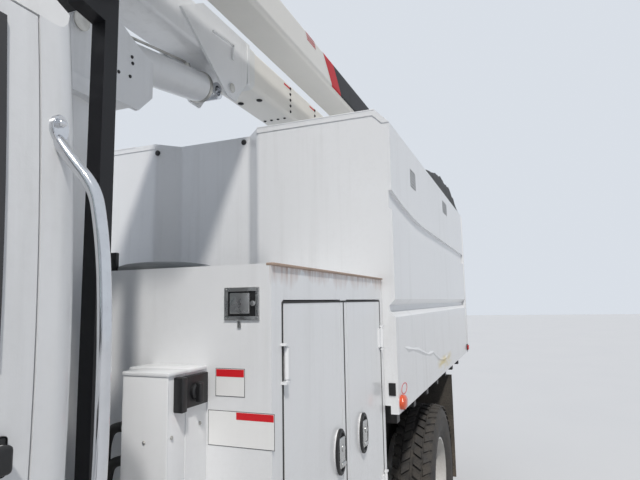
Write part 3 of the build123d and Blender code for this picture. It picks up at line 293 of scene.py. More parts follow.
def use_group(tree, name, **values):
    """A group node placed in a material, with its input values."""
    node = tree.nodes.new("ShaderNodeGroup")
    node.node_tree = GROUPS[name]
    for key, value in values.items():
        node.inputs[key].default_value = value
    return node


# Materials

DUST_COLOUR = (0.30, 0.25, 0.19)
GRIME_COLOUR = (0.20, 0.19, 0.165)
RUST_COLOUR = (0.16, 0.055, 0.02)
STEEL_COLOUR = (0.28, 0.27, 0.26)
MATERIALS = {}


def start_material(name):
    """A fresh node material and its Principled shader."""
    material = bpy.data.materials.new(name)
    material.use_nodes = True
    tree = material.node_tree
    return material, tree, tree.nodes["Principled BSDF"]


def add_bump(tree, shader, height, strength, distance):
    """A Bump node on the shader's normal."""
    bump = tree.nodes.new("ShaderNodeBump")
    bump.inputs["Strength"].default_value = strength
    bump.inputs["Distance"].default_value = distance
    tree.links.new(height, bump.inputs["Height"])
    tree.links.new(bump.outputs["Normal"], shader.inputs["Normal"])


def worn_paint(name, colour, roughness=0.32, coat=0.5, dust=0.45, streaks=0.2, chips=0.2, top=1.5,
               bottom=0.4, peel=0.25, chip_size=40.0, bare=RUST_COLOUR, grime=GRIME_COLOUR, sheen=0.5):
    """Painted metal with orange peel, rain streaks, road dust and chips."""
    material, tree, shader = start_material(name)
    tone = blend_colour(tree, ramp(tree, noise(tree, 0.9, 3.0), 0.3, 0.7), tuple(c * 0.965 for c in colour),
                        colour)
    streak = use_group(tree, "rain_streaks", Amount=streaks).outputs["Mask"]
    dusty = use_group(tree, "road_dust", Top=top, Bottom=bottom, Amount=dust).outputs["Mask"]
    chipped = use_group(tree, "paint_chips", Amount=chips, Size=chip_size)
    tone = blend_colour(tree, streak, tone, grime)
    tone = blend_colour(tree, times(tree, chipped.outputs["Stain"], 0.35), tone, (0.35, 0.16, 0.06))
    tone = blend_colour(tree, dusty, tone, DUST_COLOUR)
    tone = blend_colour(tree, chipped.outputs["Chip"], tone, bare)
    tree.links.new(tone, shader.inputs["Base Color"])
    dull = plus(tree, times(tree, dusty, 0.5), times(tree, streak, 0.5))
    dull = plus(tree, dull, times(tree, chipped.outputs["Chip"], 0.5))
    tree.links.new(plus(tree, dull, roughness, clamp=True), shader.inputs["Roughness"])
    tree.links.new(math(tree, "SUBTRACT", coat, times(tree, dull, coat * 1.6), clamp=True),
                   shader.inputs["Coat Weight"])
    shader.inputs["Coat Roughness"].default_value = 0.08
    shader.inputs["Specular IOR Level"].default_value = sheen
    height = use_group(tree, "fine_grain", Scale=260.0, Soft=1.2).outputs["Height"]
    height = math(tree, "SUBTRACT", height, times(tree, chipped.outputs["Chip"], 1.5))
    add_bump(tree, shader, height, peel, 0.0006)
    MATERIALS[name] = material
    return shader


def bright_metal(name, colour, roughness=0.12, smear=0.25):
    """Chrome or polished steel with smears and a little pitting."""
    material, tree, shader = start_material(name)
    smears = ramp(tree, noise(tree, 22.0, 5.0), 0.42, 0.75)
    pits = ramp(tree, noise(tree, 420.0, 2.0), 0.68, 0.75)
    dusty = use_group(tree, "road_dust", Top=1.1, Bottom=0.2, Amount=0.5).outputs["Mask"]
    tone = blend_colour(tree, times(tree, smears, smear), colour, tuple(c * 0.62 for c in colour))
    tone = blend_colour(tree, times(tree, pits, 0.5), tone, (0.12, 0.07, 0.04))
    tone = blend_colour(tree, dusty, tone, DUST_COLOUR)
    tree.links.new(tone, shader.inputs["Base Color"])
    shader.inputs["Metallic"].default_value = 1.0
    tree.links.new(plus(tree, times(tree, smears, 0.16),
                        plus(tree, times(tree, dusty, 0.4), roughness), clamp=True),
                   shader.inputs["Roughness"])
    add_bump(tree, shader, noise(tree, 60.0, 4.0), 0.05, 0.0005)
    MATERIALS[name] = material


def moulded(name, colour, roughness=0.55, grain=500.0, bump=0.25, dust=0.3, top=2.0, bottom=0.3, coat=0.0,
            mottle=0.2):
    """Plastic, rubber or vinyl with a fine grain and dust."""
    material, tree, shader = start_material(name)
    clouds = ramp(tree, noise(tree, 9.0, 5.0), 0.3, 0.75)
    dusty = use_group(tree, "road_dust", Top=top, Bottom=bottom, Amount=dust).outputs["Mask"]
    tone = blend_colour(tree, clouds, tuple(c * (1 - mottle) for c in colour),
                        tuple(min(c * (1 + mottle), 1.0) for c in colour))
    tone = blend_colour(tree, dusty, tone, DUST_COLOUR)
    tree.links.new(tone, shader.inputs["Base Color"])
    tree.links.new(plus(tree, times(tree, clouds, 0.15), roughness, clamp=True),
                   shader.inputs["Roughness"])
    shader.inputs["Coat Weight"].default_value = coat
    height = use_group(tree, "fine_grain", Scale=grain, Soft=0.2).outputs["Height"]
    add_bump(tree, shader, height, bump, 0.0006)
    MATERIALS[name] = material


def tyre_rubber(name):
    """Black rubber, browned by dust in the tread and up the sidewall."""
    material, tree, shader = start_material(name)
    patches = ramp(tree, noise(tree, 14.0, 6.0), 0.35, 0.7)
    fine = ramp(tree, noise(tree, 120.0, 3.0), 0.4, 0.65)
    cover = times(tree, plus(tree, times(tree, patches, 0.5),
                             times(tree, fine, 0.25)), 0.75)
    tone = blend_colour(tree, cover, (0.022, 0.022, 0.023), (0.125, 0.108, 0.088))
    tree.links.new(tone, shader.inputs["Base Color"])
    tree.links.new(plus(tree, times(tree, patches, 0.15), 0.72), shader.inputs["Roughness"])
    height = use_group(tree, "fine_grain", Scale=380.0, Soft=0.6).outputs["Height"]
    add_bump(tree, shader, height, 0.4, 0.0008)
    MATERIALS[name] = material


def window_glass(name):
    """Clear glass with faint dusty smears."""
    material, tree, shader = start_material(name)
    smears = ramp(tree, noise(tree, 6.0, 6.0, (1.0, 1.0, 0.4)), 0.5, 0.8)
    tree.links.new(blend_colour(tree, smears, (0.88, 0.93, 0.92), (0.80, 0.80, 0.76)),
                   shader.inputs["Base Color"])
    shader.inputs["Metallic"].default_value = 0.0
    shader.inputs["Transmission Weight"].default_value = 1.0
    shader.inputs["IOR"].default_value = 1.45
    tree.links.new(plus(tree, times(tree, smears, 0.10), 0.02), shader.inputs["Roughness"])
    add_bump(tree, shader, noise(tree, 3.0, 2.0), 0.02, 0.0005)
    MATERIALS[name] = material


def lens_plastic(name, colour, glow=0.0):
    """A ribbed coloured lamp lens."""
    material, tree, shader = start_material(name)
    wave = tree.nodes.new("ShaderNodeTexWave")
    place = tree.nodes.new("ShaderNodeTexCoord")
    tree.links.new(place.outputs["Object"], wave.inputs["Vector"])
    wave.inputs["Scale"].default_value = 60.0
    wave.bands_direction = "Z"
    tone = blend_colour(tree, wave.outputs["Fac"], tuple(c * 0.7 for c in colour), colour)
    tree.links.new(tone, shader.inputs["Base Color"])
    tree.links.new(plus(tree, times(tree, noise(tree, 30.0), 0.1), 0.1),
                   shader.inputs["Roughness"])
    shader.inputs["Coat Weight"].default_value = 0.6
    shader.inputs["Transmission Weight"].default_value = 0.12
    shader.inputs["Emission Color"].default_value = (*colour, 1.0)
    shader.inputs["Emission Strength"].default_value = glow
    add_bump(tree, shader, wave.outputs["Fac"], 0.3, 0.001)
    MATERIALS[name] = material


def chip_panel_paint(name, colour, wear):
    """The chip box's white paint: dirtier, scratched, with a yellow smear low on the left side."""
    shader = worn_paint(name, colour, roughness=0.36, coat=0.35, dust=wear.dust * 0.5,
                        streaks=wear.streaks, chips=wear.chips, top=1.9, bottom=1.0, peel=0.35)
    tree = MATERIALS[name].node_tree
    before = shader.inputs["Base Color"].links[0].from_socket
    at = position(tree)
    low = times(tree, ramp(tree, at["Z"], 1.245, 1.27),
                ramp(tree, at["Z"], 1.37, 1.33))
    along = times(tree, ramp(tree, at["X"], -2.0, -1.8),
                  ramp(tree, at["X"], -1.2, -1.35))
    broken = ramp(tree, noise(tree, 7.0, 6.0, (0.4, 1.0, 1.6)), 0.34, 0.52)
    left = times(tree, ramp(tree, at["Y"], 0.9, 1.0), 0.85)
    smear = times(tree, times(tree, low, along), times(tree, broken, left))
    tree.links.new(blend_colour(tree, smear, before, (0.62, 0.47, 0.09)), shader.inputs["Base Color"])


def tool_box_paint(name, colour, wear):
    """The tool boxes' white paint, with rust that has run down from the lip on their sides."""
    shader = worn_paint(name, colour, dust=wear.dust, streaks=wear.streaks, chips=wear.chips)
    tree = MATERIALS[name].node_tree
    before = shader.inputs["Base Color"].links[0].from_socket
    at = position(tree)
    outside = ramp(tree, math(tree, "ABSOLUTE", at["Y"]), 1.146, 1.149)
    length = noise(tree, 9.0, 4.0, (1.0, 1.0, 0.02))
    reach = plus(tree, times(tree, length, -0.19), 1.935)
    runs = ramp(tree, at["Z"], reach, 1.893)
    fine = ramp(tree, noise(tree, 70.0, 4.0, (1.0, 1.0, 0.08)), 0.35, 0.7)
    cover = times(tree, times(tree, runs, outside), plus(tree, fine, 0.25))
    tree.links.new(blend_colour(tree, times(tree, cover, 0.75, clamp=True), before, (0.30, 0.12, 0.04)),
                   shader.inputs["Base Color"])


def make_groups():
    """Builds the shared shader groups once."""
    GROUPS["road_dust"] = road_dust_group()
    GROUPS["rain_streaks"] = rain_streak_group()
    GROUPS["paint_chips"] = paint_chip_group()
    GROUPS["fine_grain"] = grain_group()


def make_materials(paint, wear):
    """Every finish that the truck uses."""
    worn_paint("cab_white", paint.white, dust=wear.dust, streaks=wear.streaks, chips=wear.chips * 0.6)
    tool_box_paint("box_white", paint.white, wear)
    chip_panel_paint("chip_white", paint.white, wear)
    worn_paint("boom_white", paint.white, roughness=0.35, dust=0.0, streaks=wear.streaks * 1.2,
               chips=wear.chips * 1.3)
    worn_paint("frame_black", paint.black, roughness=0.5, coat=0.1, dust=0.75, streaks=0.35, chips=0.4,
               top=1.3, bottom=0.3, peel=0.5)
    worn_paint("guard_black", (0.010, 0.010, 0.012), roughness=0.42, coat=0.12, dust=0.05, streaks=0.10,
               chips=0.25, grime=(0.05, 0.048, 0.044), sheen=0.25)
    worn_paint("wheel_white", (0.66, 0.66, 0.65), roughness=0.45, coat=0.15, dust=0.7, streaks=0.3,
               chips=0.8, top=1.3, bottom=0.1)
    worn_paint("engine_paint", (0.07, 0.075, 0.08), roughness=0.6, coat=0.0, dust=0.6, streaks=0.4, chips=0.4)
    worn_paint("band_black", paint.band, roughness=0.45, coat=0.0, dust=0.0, streaks=0.10, chips=0.12,
               bare=(0.7, 0.7, 0.68), grime=(0.05, 0.048, 0.044), sheen=0.2)
    worn_paint("band_red", paint.stripe, roughness=0.45, coat=0.0, dust=0.0, streaks=0.10, chips=0.10,
               bare=(0.7, 0.7, 0.68), grime=(0.16, 0.03, 0.03), sheen=0.25)
    worn_paint("sticker_white", (0.84, 0.84, 0.83), roughness=0.45, coat=0.1, dust=0.05, streaks=0.15,
               chips=0.05, bare=(0.6, 0.6, 0.58))
    worn_paint("sticker_red", (0.66, 0.012, 0.02), roughness=0.45, coat=0.1, dust=0.05, streaks=0.12,
               chips=0.1, bare=(0.6, 0.5, 0.48), grime=(0.2, 0.06, 0.05))
    worn_paint("reflector_red", (0.45, 0.015, 0.02), roughness=0.25, coat=0.6, dust=0.2, streaks=0.2,
               chips=0.1)
    worn_paint("rusty_steel", (0.40, 0.30, 0.24), roughness=0.75, coat=0.0, dust=0.2, streaks=0.5,
               chips=1.2, peel=0.9, bare=STEEL_COLOUR)
    bright_metal("chrome", (0.68, 0.69, 0.71), roughness=0.06)
    bright_metal("stainless", (0.56, 0.56, 0.55), roughness=0.24, smear=0.5)
    bright_metal("zinc", (0.50, 0.49, 0.46), roughness=0.38, smear=0.6)
    bright_metal("tank_metal", (0.58, 0.59, 0.60), roughness=0.30, smear=0.4)
    moulded("fibreglass", paint.fibreglass, roughness=0.34, grain=180.0, bump=0.2, dust=0.0, coat=0.25,
            mottle=0.02)
    moulded("bucket_shell", (0.72, 0.73, 0.72), roughness=0.38, grain=150.0, bump=0.3, dust=0.0, coat=0.2,
            mottle=0.04)
    moulded("black_plastic", (0.010, 0.010, 0.011), roughness=0.42, dust=0.12, top=1.3, bump=0.12)
    moulded("lid_grey", (0.24, 0.25, 0.25), roughness=0.6, grain=300.0, bump=0.3, dust=0.0, mottle=0.08)
    moulded("cab_trim", (0.05, 0.05, 0.053), roughness=0.6, grain=700.0, bump=0.4, dust=0.0)
    moulded("seat_vinyl", (0.045, 0.047, 0.052), roughness=0.5, grain=420.0, bump=0.5, dust=0.0)
    moulded("hose_rubber", (0.02, 0.02, 0.021), roughness=0.6, grain=600.0, bump=0.3, dust=0.15)
    moulded("flap_rubber", (0.022, 0.022, 0.022), roughness=0.75, grain=250.0, bump=0.4, dust=0.7, top=1.5)
    tyre_rubber("tyre_rubber")
    window_glass("window_glass")
    lens_plastic("lens_amber", (0.78, 0.09, 0.012), glow=0.06)
    lens_plastic("lens_red", (0.62, 0.015, 0.015), glow=0.10)
    lens_plastic("lens_clear", (0.82, 0.84, 0.85), glow=0.05)


NODE_FINISH = {
    "frame": "frame_black", "front_axle": "frame_black", "rear_axle": "frame_black",
    "engine": "engine_paint", "tanks": "tank_metal", "bumper": "cab_white", "cab_shell": "cab_white",
    "cab_glass": "window_glass", "seats": "seat_vinyl", "dashboard": "cab_trim", "mirrors": "black_plastic",
    "cab_guard": "guard_black", "grab_handles": "chrome", "tool_boxes": "box_white",
    "hydraulics": "box_white", "pedestal": "boom_white", "chip_floor": "frame_black",
    "chip_sides": "chip_white", "chip_front": "chip_white", "chip_roof": "chip_white",
    "chip_gate": "chip_white", "mud_flaps": "flap_rubber", "lamps": "lens_amber", "hood": "cab_white",
    "grille": "chrome", "headlamps": "lens_clear", "door_left": "cab_white", "door_right": "cab_white",
    "door_glass_left": "window_glass", "door_glass_right": "window_glass",
    "tool_door_left_front": "box_white", "tool_door_left_rear": "box_white",
    "tool_door_right_front": "box_white", "tool_door_right_rear": "box_white",
    "knuckle_left": "frame_black", "knuckle_right": "frame_black",
    "rim_front_left": "wheel_white", "rim_front_right": "wheel_white", "rims_rear_left": "wheel_white",
    "rims_rear_right": "wheel_white", "turret": "boom_white", "lower_boom_steel": "boom_white",
    "lower_boom_insert": "fibreglass", "upper_boom_steel": "boom_white", "upper_boom_insert": "fibreglass",
    "bucket": "bucket_shell", "lift_barrel": "boom_white", "lift_rod": "chrome",
    "tyre_front_left": "tyre_rubber", "tyre_front_right": "tyre_rubber", "tyres_rear_left": "tyre_rubber",
    "tyres_rear_right": "tyre_rubber",
}


# How far the pressed and welded edges of these solids are rounded
EDGE_ROUND = {
    "tool_door_left_front": 0.003, "tool_door_left_rear": 0.003, "tool_door_right_front": 0.003,
    "tool_door_right_rear": 0.003, "tool_boxes": 0.002, "chip_front": 0.002, "chip_sides": 0.002,
    "bumper": 0.004, "turret": 0.002, "lower_boom_steel": 0.002, "upper_boom_steel": 0.002,
    "cab_guard": 0.002, }


# Mesh helpers: each adds its shape to a bmesh

def add_box(shape, low, high, bevel=0.0, segments=2):
    """A box between two corners, with rounded edges."""
    low, high = Vector(low), Vector(high)
    size = high - low
    matrix = Matrix.Translation((low + high) / 2) @ Matrix.Diagonal((*(abs(c) for c in size), 1))
    made = bmesh.ops.create_cube(shape, size=1.0, matrix=matrix)
    if bevel > 0:
        edges = list({e for v in made["verts"] for e in v.link_edges})
        bmesh.ops.bevel(shape, geom=edges, offset=bevel, segments=segments, profile=0.5, affect="EDGES")


def axis_matrix(direction):
    """A rotation that takes +Z to a direction."""
    return Vector((0, 0, 1)).rotation_difference(Vector(direction).normalized()).to_matrix().to_4x4()


def add_turned(shape, place, direction, profile, steps=24):
    """A lathe shape: profile is (distance along the direction, radius) pairs."""
    matrix = Matrix.Translation(Vector(place)) @ axis_matrix(direction)
    rings = []
    for along, radius in profile:
        rings.append([shape.verts.new(matrix @ Vector((u, v, along))) for u, v in around(steps, radius)])
    for first, second in zip(rings, rings[1:]):
        for step in range(steps):
            after = (step + 1) % steps
            shape.faces.new((first[step], first[after], second[after], second[step]))
    shape.faces.new(list(reversed(rings[0])))
    shape.faces.new(rings[-1])


def add_prism(shape, corners, base=True):
    """A six-sided block from its lower four corners and the four over them; base closes it below."""
    a, b, c, d, e, f, g, h = [shape.verts.new(corner) for corner in corners]
    if base:
        shape.faces.new((d, c, b, a))
    for face in ((e, f, g, h), (a, b, f, e), (b, c, g, f), (c, d, h, g), (d, a, e, h)):
        shape.faces.new(face)


def around(count, radius, start=0.0):
    """Pairs of offsets, evenly spaced round a circle."""
    angles = [start + 2 * pi * n / count for n in range(count)]
    return [(radius * cos(angle), radius * sin(angle)) for angle in angles]


def box_corners(low, high):
    """The eight corners of a box, the lower four first."""
    return [(x, y, z) for z in (low[2], high[2])
            for x, y in ((low[0], low[1]), (high[0], low[1]), (high[0], high[1]), (low[0], high[1]))]


def add_bolt(shape, place, direction, radius, height, washer=True):
    """A hex bolt head on a washer."""
    matrix = Matrix.Translation(Vector(place)) @ axis_matrix(direction)
    if washer:
        add_turned(shape, place, direction, ((0, radius * 1.45), (radius * 0.22, radius * 1.45),
                                             (radius * 0.26, radius * 1.3)), 16)
    base = radius * 0.25 if washer else 0.0
    lower, upper, crown = [
        [shape.verts.new(matrix @ Vector((u, v, level))) for u, v in around(6, size)]
        for size, level in ((radius, base), (radius, base + height * 0.8), (radius * 0.8, base + height))]
    for ring, following in ((lower, upper), (upper, crown)):
        for k in range(6):
            shape.faces.new((ring[k], ring[(k + 1) % 6], following[(k + 1) % 6], following[k]))
    shape.faces.new(crown)
    shape.faces.new(list(reversed(lower)))


def finish(name, shape, material, body="chassis", smooth=True):
    """Turns a bmesh into a named piece with a finish that rides on a body."""
    bmesh.ops.recalc_face_normals(shape, faces=shape.faces)
    mesh = bpy.data.meshes.new(name)
    shape.to_mesh(mesh)
    shape.free()
    piece = bpy.data.objects.new(name, mesh)
    bpy.context.scene.collection.objects.link(piece)
    mesh.materials.append(MATERIALS[material])
    if smooth:
        mesh.polygons.foreach_set("use_smooth", [True] * len(mesh.polygons))
        mesh.set_sharp_from_angle(angle=radians(32))
    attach(piece, body)
    return piece


def tube(name, routes, radius, material, body="chassis", roundness=3):
    """Fixed hoses or bent bars along smooth NURBS lines, one for each route of points."""
    curve = bpy.data.curves.new(name, "CURVE")
    curve.dimensions = "3D"
    curve.bevel_depth = radius
    curve.bevel_resolution = roundness
    curve.resolution_u = 10
    curve.use_fill_caps = True
    for route in routes:
        line = curve.splines.new("NURBS")
        line.points.add(len(route) - 1)
        for point, place in zip(line.points, route):
            point.co = (*place, 1.0)
        line.order_u = 3
        line.use_endpoint_u = True
    piece = bpy.data.objects.new(name, curve)
    bpy.context.scene.collection.objects.link(piece)
    curve.materials.append(MATERIALS[material])
    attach(piece, body)
    return piece


# Tyres and wheels

TYRE_NODES = (
    ("tyre_front_left", "wheel_front_left", False), ("tyre_front_right", "wheel_front_right", False),
    ("tyres_rear_left", "wheels_rear_left", True), ("tyres_rear_right", "wheels_rear_right", True),
)
TYRE_WIDTH = 0.275
BEAD_RADIUS = 0.2863


def tyre_profile(radius, bore, depth, grooves):
    """Half sections of one tyre as (across, radius) pairs, from one bead to the other."""
    half = TYRE_WIDTH / 2
    wall = [(-half + 0.030, bore), (-half + 0.021, bore + 0.016), (-half + 0.023, bore + 0.026),
            (-half + 0.008, bore + 0.058), (-half + 0.001, bore + 0.100), (-half + 0.003, bore + 0.130),
            (-half + 0.001, bore + 0.134), (-half + 0.006, bore + 0.160), (-half + 0.016, radius - 0.022),
            (-half + 0.026, radius - 0.005), (-half + 0.034, radius - 0.001)]
    tread = []
    for centre in grooves:
        tread += [(centre - 0.0062, radius - 0.0004), (centre - 0.0038, radius - depth),
                  (centre + 0.0038, radius - depth), (centre + 0.0062, radius - 0.0004)]
    other = [(-a, r) for a, r in reversed(wall)]
    return wall + tread + other


def add_tyre(shape, centre, radius, bore, depth, drive):
    """One tyre with ribs for steering or lugs for drive."""
    grooves = (-0.078, -0.028, 0.028, 0.078) if not drive else ()
    crown = radius if not drive else radius - depth
    profile = tyre_profile(crown, bore, depth, grooves)
    steps = 96
    rings = []
    for across, distance in profile:
        rings.append([shape.verts.new((centre.x + distance * sin(2 * pi * k / steps), centre.y + across,
                                       centre.z + distance * cos(2 * pi * k / steps))) for k in range(steps)])
    for first, second in zip(rings, rings[1:] + rings[:1]):
        for k in range(steps):
            after = (k + 1) % steps
            shape.faces.new((first[k], first[after], second[after], second[k]))
    if drive:
        add_lugs(shape, centre, radius, depth)
    else:
        add_sipes(shape, centre, radius)


LUG_ROWS = (
    # across, half width, lean, phase
    (-0.101, 0.027, 0.20, 0.0), (-0.037, 0.028, -0.25, 0.5), (0.037, 0.028, 0.25, 0.0),
    (0.101, 0.027, -0.20, 0.5),
)


def add_lugs(shape, centre, radius, depth):
    """Tread blocks in four rows round a drive tyre."""
    count = 46
    pitch = 2 * pi / count
    for across, half, lean, phase in LUG_ROWS:
        outer = abs(across) > 0.08
        for n in range(count):
            middle = (n + phase) * pitch
            corners = []
            for level, inset in ((radius - depth - 0.006, 0.0), (radius - 0.0005, 0.0022)):
                for side, way in ((-1, -1), (1, -1), (1, 1), (-1, 1)):
                    y = across + side * (half - inset)
                    drop = 0.012 if outer and side * across > 0 and inset else 0.0
                    turn = way * (pitch * 0.36 - inset / radius) + lean * pitch * (y - across) / half
                    angle = middle + turn
                    distance = level - drop
                    corners.append((centre.x + distance * sin(angle), centre.y + y,
                                    centre.z + distance * cos(angle)))
            add_prism(shape, corners, base=False)


def add_sipes(shape, centre, radius):
    """Shoulder ribs on a steering tyre's outer edges."""
    count = 64
    for across in (-1, 1):
        for n in range(count):
            place = Matrix.Translation(centre) @ Matrix.Rotation(2 * pi * n / count, 4, "Y")
            y = across * 0.1185
            corners = box_corners((-0.011, y - 0.004, radius - 0.030), (0.011, y + 0.004, radius - 0.007))
            add_prism(shape, [place @ Vector(corner) for corner in corners], base=False)


def build_tyres(wear):
    """Tyres with real tread in place of the plain rings."""
    for node, body, dual in TYRE_NODES:
        low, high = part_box(node)
        low, high = Vector(low), Vector(high)
        radius = (high.z - low.z) / 2
        middle = (low + high) / 2
        centres = [middle]
        if dual:
            centres = [Vector((middle.x, low.y + TYRE_WIDTH / 2, middle.z)),
                       Vector((middle.x, high.y - TYRE_WIDTH / 2, middle.z))]
        shape = bmesh.new()
        for centre in centres:
            add_tyre(shape, centre, radius, BEAD_RADIUS, wear.tread_depth, dual)
        piece = finish(f"treaded_{node}", shape, "tyre_rubber", body)
        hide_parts(node)


# Count, circle and first angle of the wheel nuts
WHEEL_NUTS = (10, 0.143, pi / 10)


def middle_of(node):
    """The middle of a solid's box."""
    low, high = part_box(node)
    return (Vector(low) + Vector(high)) / 2


def build_wheel_centres():
    """Hubs, wheel nuts and caps on the discs."""
    for side, name in SIDES:
        middle = middle_of(f"rim_front_{name}")
        face = side * 1.121
        out = (0, side, 0)
        shape = bmesh.new()
        for up, along in around(*WHEEL_NUTS):
            add_bolt(shape, (middle.x + along, face, middle.z + up), out, 0.0165, 0.026)
        add_turned(shape, (middle.x, face - side * 0.004, middle.z), out,
                   ((0, 0.112), (0.012, 0.112), (0.018, 0.104), (0.050, 0.092), (0.056, 0.078),
                    (0.060, 0.066)), 40)
        add_turned(shape, (middle.x, face + side * 0.054, middle.z), out,
                   ((0, 0.060), (0.014, 0.058), (0.019, 0.050), (0.020, 0.020)), 32)
        finish(f"front_hub_{name}", shape, "zinc", f"wheel_front_{name}")
        middle = middle_of(f"rims_rear_{name}")
        shape = bmesh.new()
        for up, along in around(*WHEEL_NUTS):
            add_bolt(shape, (middle.x + along, side * 0.9302, middle.z + up), out, 0.0165, 0.030)
        add_turned(shape, (middle.x, side * 1.064, middle.z), out,
                   ((0, 0.118), (0.006, 0.118), (0.016, 0.110), (0.018, 0.060), (0.034, 0.052),
                    (0.036, 0.030)), 36)
        for up, along in around(8, 0.088):
            add_bolt(shape, (middle.x + along, side * 1.080, middle.z + up), out, 0.009, 0.010)
        finish(f"rear_hub_{name}", shape, "zinc", f"wheels_rear_{name}")


# Chip box details

def build_chip_trim():
    """Roof lip, plugs, vents, lamps, dents and the torn seal on the chip box."""
    front, rear = CHIP_HIGH[0], CHIP_LOW[0]
    half, top = CHIP_HIGH[1], ROOF_TOP
    side_top = CHIP_HIGH[2]
    corner = top - side_top
    shape = bmesh.new()
    line = ((-half + corner, top), (-0.44, top), (0.44, top), (half - corner, top))
    for (y0, z0), (y1, z1) in zip(line, line[1:]):
        if y0 < 0 < y1:
            continue
        add_box(shape, (front - 0.03, y0, z0 - 0.0030), (front + 0.006, y1, z1 + 0.004), 0.002)
        add_box(shape, (front - 0.01, y0, z0 - 0.0175), (front + 0.0035, y1, z1 - 0.0115), 0.0015)
    for side in (1, -1):
        y0 = side * half
        add_box(shape, (rear - 0.004, y0 - side * 0.045, CHIP_LOW[2] - 0.004),
                (rear + 0.045, y0 + side * 0.004, side_top - 0.004), 0.003)
    finish("chip_box_trim", shape, "chip_white")

    shape = bmesh.new()
    for x, y, z in ((front - 0.001, -0.268, 2.732), (-0.10, 0.29, 2.758)):
        add_turned(shape, (x, y, z), (1, 0, 0), ((-0.004, 0.017), (0.004, 0.017), (0.009, 0.012)), 20)
    finish("chip_box_plugs", shape, "black_plastic")
    build_vents(half)
    build_side_lamps(front, rear, half)
    build_side_dents(half)
    build_torn_seal(half, top, corner)


VENTS = (
    # x, z, width, height of each patch of slots on the side
    (-0.575, 2.528, 0.17, 0.115), (-1.965, 2.581, 0.26, 0.105),
)


def build_vents(half):
    """Rows of small slots let into the upper side, drawn as black blocks: painted shade inside the openings.
    """
    shape = bmesh.new()
    for side in (1, -1):
        for x, z, width, height in VENTS:
            rows, columns = 6, 4
            for row in range(rows):
                for column in range(columns):
                    cx = x - width / 2 + (column + 0.5) * width / columns
                    cz = z - height / 2 + (row + 0.5) * height / rows
                    add_box(shape, (cx - width * 0.09, side * (half - 0.004), cz - 0.0062),
                            (cx + width * 0.09, side * (half + 0.0015), cz + 0.0062), 0.002, 1)
    finish("chip_box_vent_slot_shade", shape, "black_plastic")


def build_side_lamps(front, rear, half):
    """Marker lamps, reflectors and a blank plate along the bottom edge."""
    for side, name in SIDES:
        shape = bmesh.new()
        add_box(shape, (rear + 0.058, side * (half + 0.002), 1.248),
                (rear + 0.142, side * (half + 0.009), 1.312), 0.004)
        finish(f"marker_bases_{name}", shape, "black_plastic")
        shape = bmesh.new()
        add_oval(shape, (front - 0.060, side * half, 1.280), (0, side, 0), 0.047, 0.036,
                 ((1.0, -0.002), (1.0, 0.014), (0.92, 0.021), (0.7, 0.026), (0.4, 0.029)))
        finish(f"front_marker_{name}", shape, "lens_amber")
        shape = bmesh.new()
        rings = []
        for scale, out in ((0.86, 0.0002), (0.86, 0.0011), (1.0, 0.0011), (1.0, 0.0002)):
            rings.append([(front - 0.134 + 0.066 * scale * u, side * (half + out), 1.335 + 0.028 * scale * v)
                          for u, v in around(40, 1.0)])
        add_loop_strip(shape, rings[:2], rings[2:])
        finish(f"oval_mark_{name}", shape, "sticker_red")
        shape = bmesh.new()
        add_box(shape, (rear + 0.066, side * (half + 0.006), 1.256),
                (rear + 0.134, side * (half + 0.022), 1.304), 0.006, 3)
        finish(f"rear_marker_{name}", shape, "lens_red")
    shape = bmesh.new()
    add_box(shape, (front + 0.0012, half - 0.047, 1.319), (front + 0.0045, half - 0.012, 1.380), 0.001, 1)
    finish("blank_plate", shape, "black_plastic")


DENT_LINE = (
    # X, Z of the crease along the lower left side
    (-0.151, 1.541), (-0.253, 1.522), (-0.380, 1.510), (-0.530, 1.493), (-0.679, 1.465),
    (-0.853, 1.435), (-0.948, 1.433), (-1.049, 1.430), (-1.143, 1.401), (-1.252, 1.372),
    (-1.360, 1.351), (-1.526, 1.332), (-1.642, 1.336), (-1.810, 1.334),
)


def build_side_dents(half):
    """A jagged crease along the lower left side."""
    shape = bmesh.new()
    section = ((-0.022, 0.0002), (-0.010, 0.0022), (-0.002, 0.0078), (0.003, 0.0076), (0.009, 0.0020),
               (0.018, 0.0002))
    rings = []
    for n, (x, z) in enumerate(DENT_LINE):
        fade = 1.0 if 0 < n < len(DENT_LINE) - 1 else 0.05
        size = fade * (0.75 + 0.25 * sin(n * 2.3))
        rings.append([shape.verts.new((x, half - 0.0004 + rise * size, z + up * size))
                      for up, rise in section])
    for first, second in zip(rings, rings[1:]):
        for a, b, c, d in zip(first, first[1:], second[1:], second):
            shape.faces.new((a, b, c, d))
    finish("side_crease", shape, "chip_white")


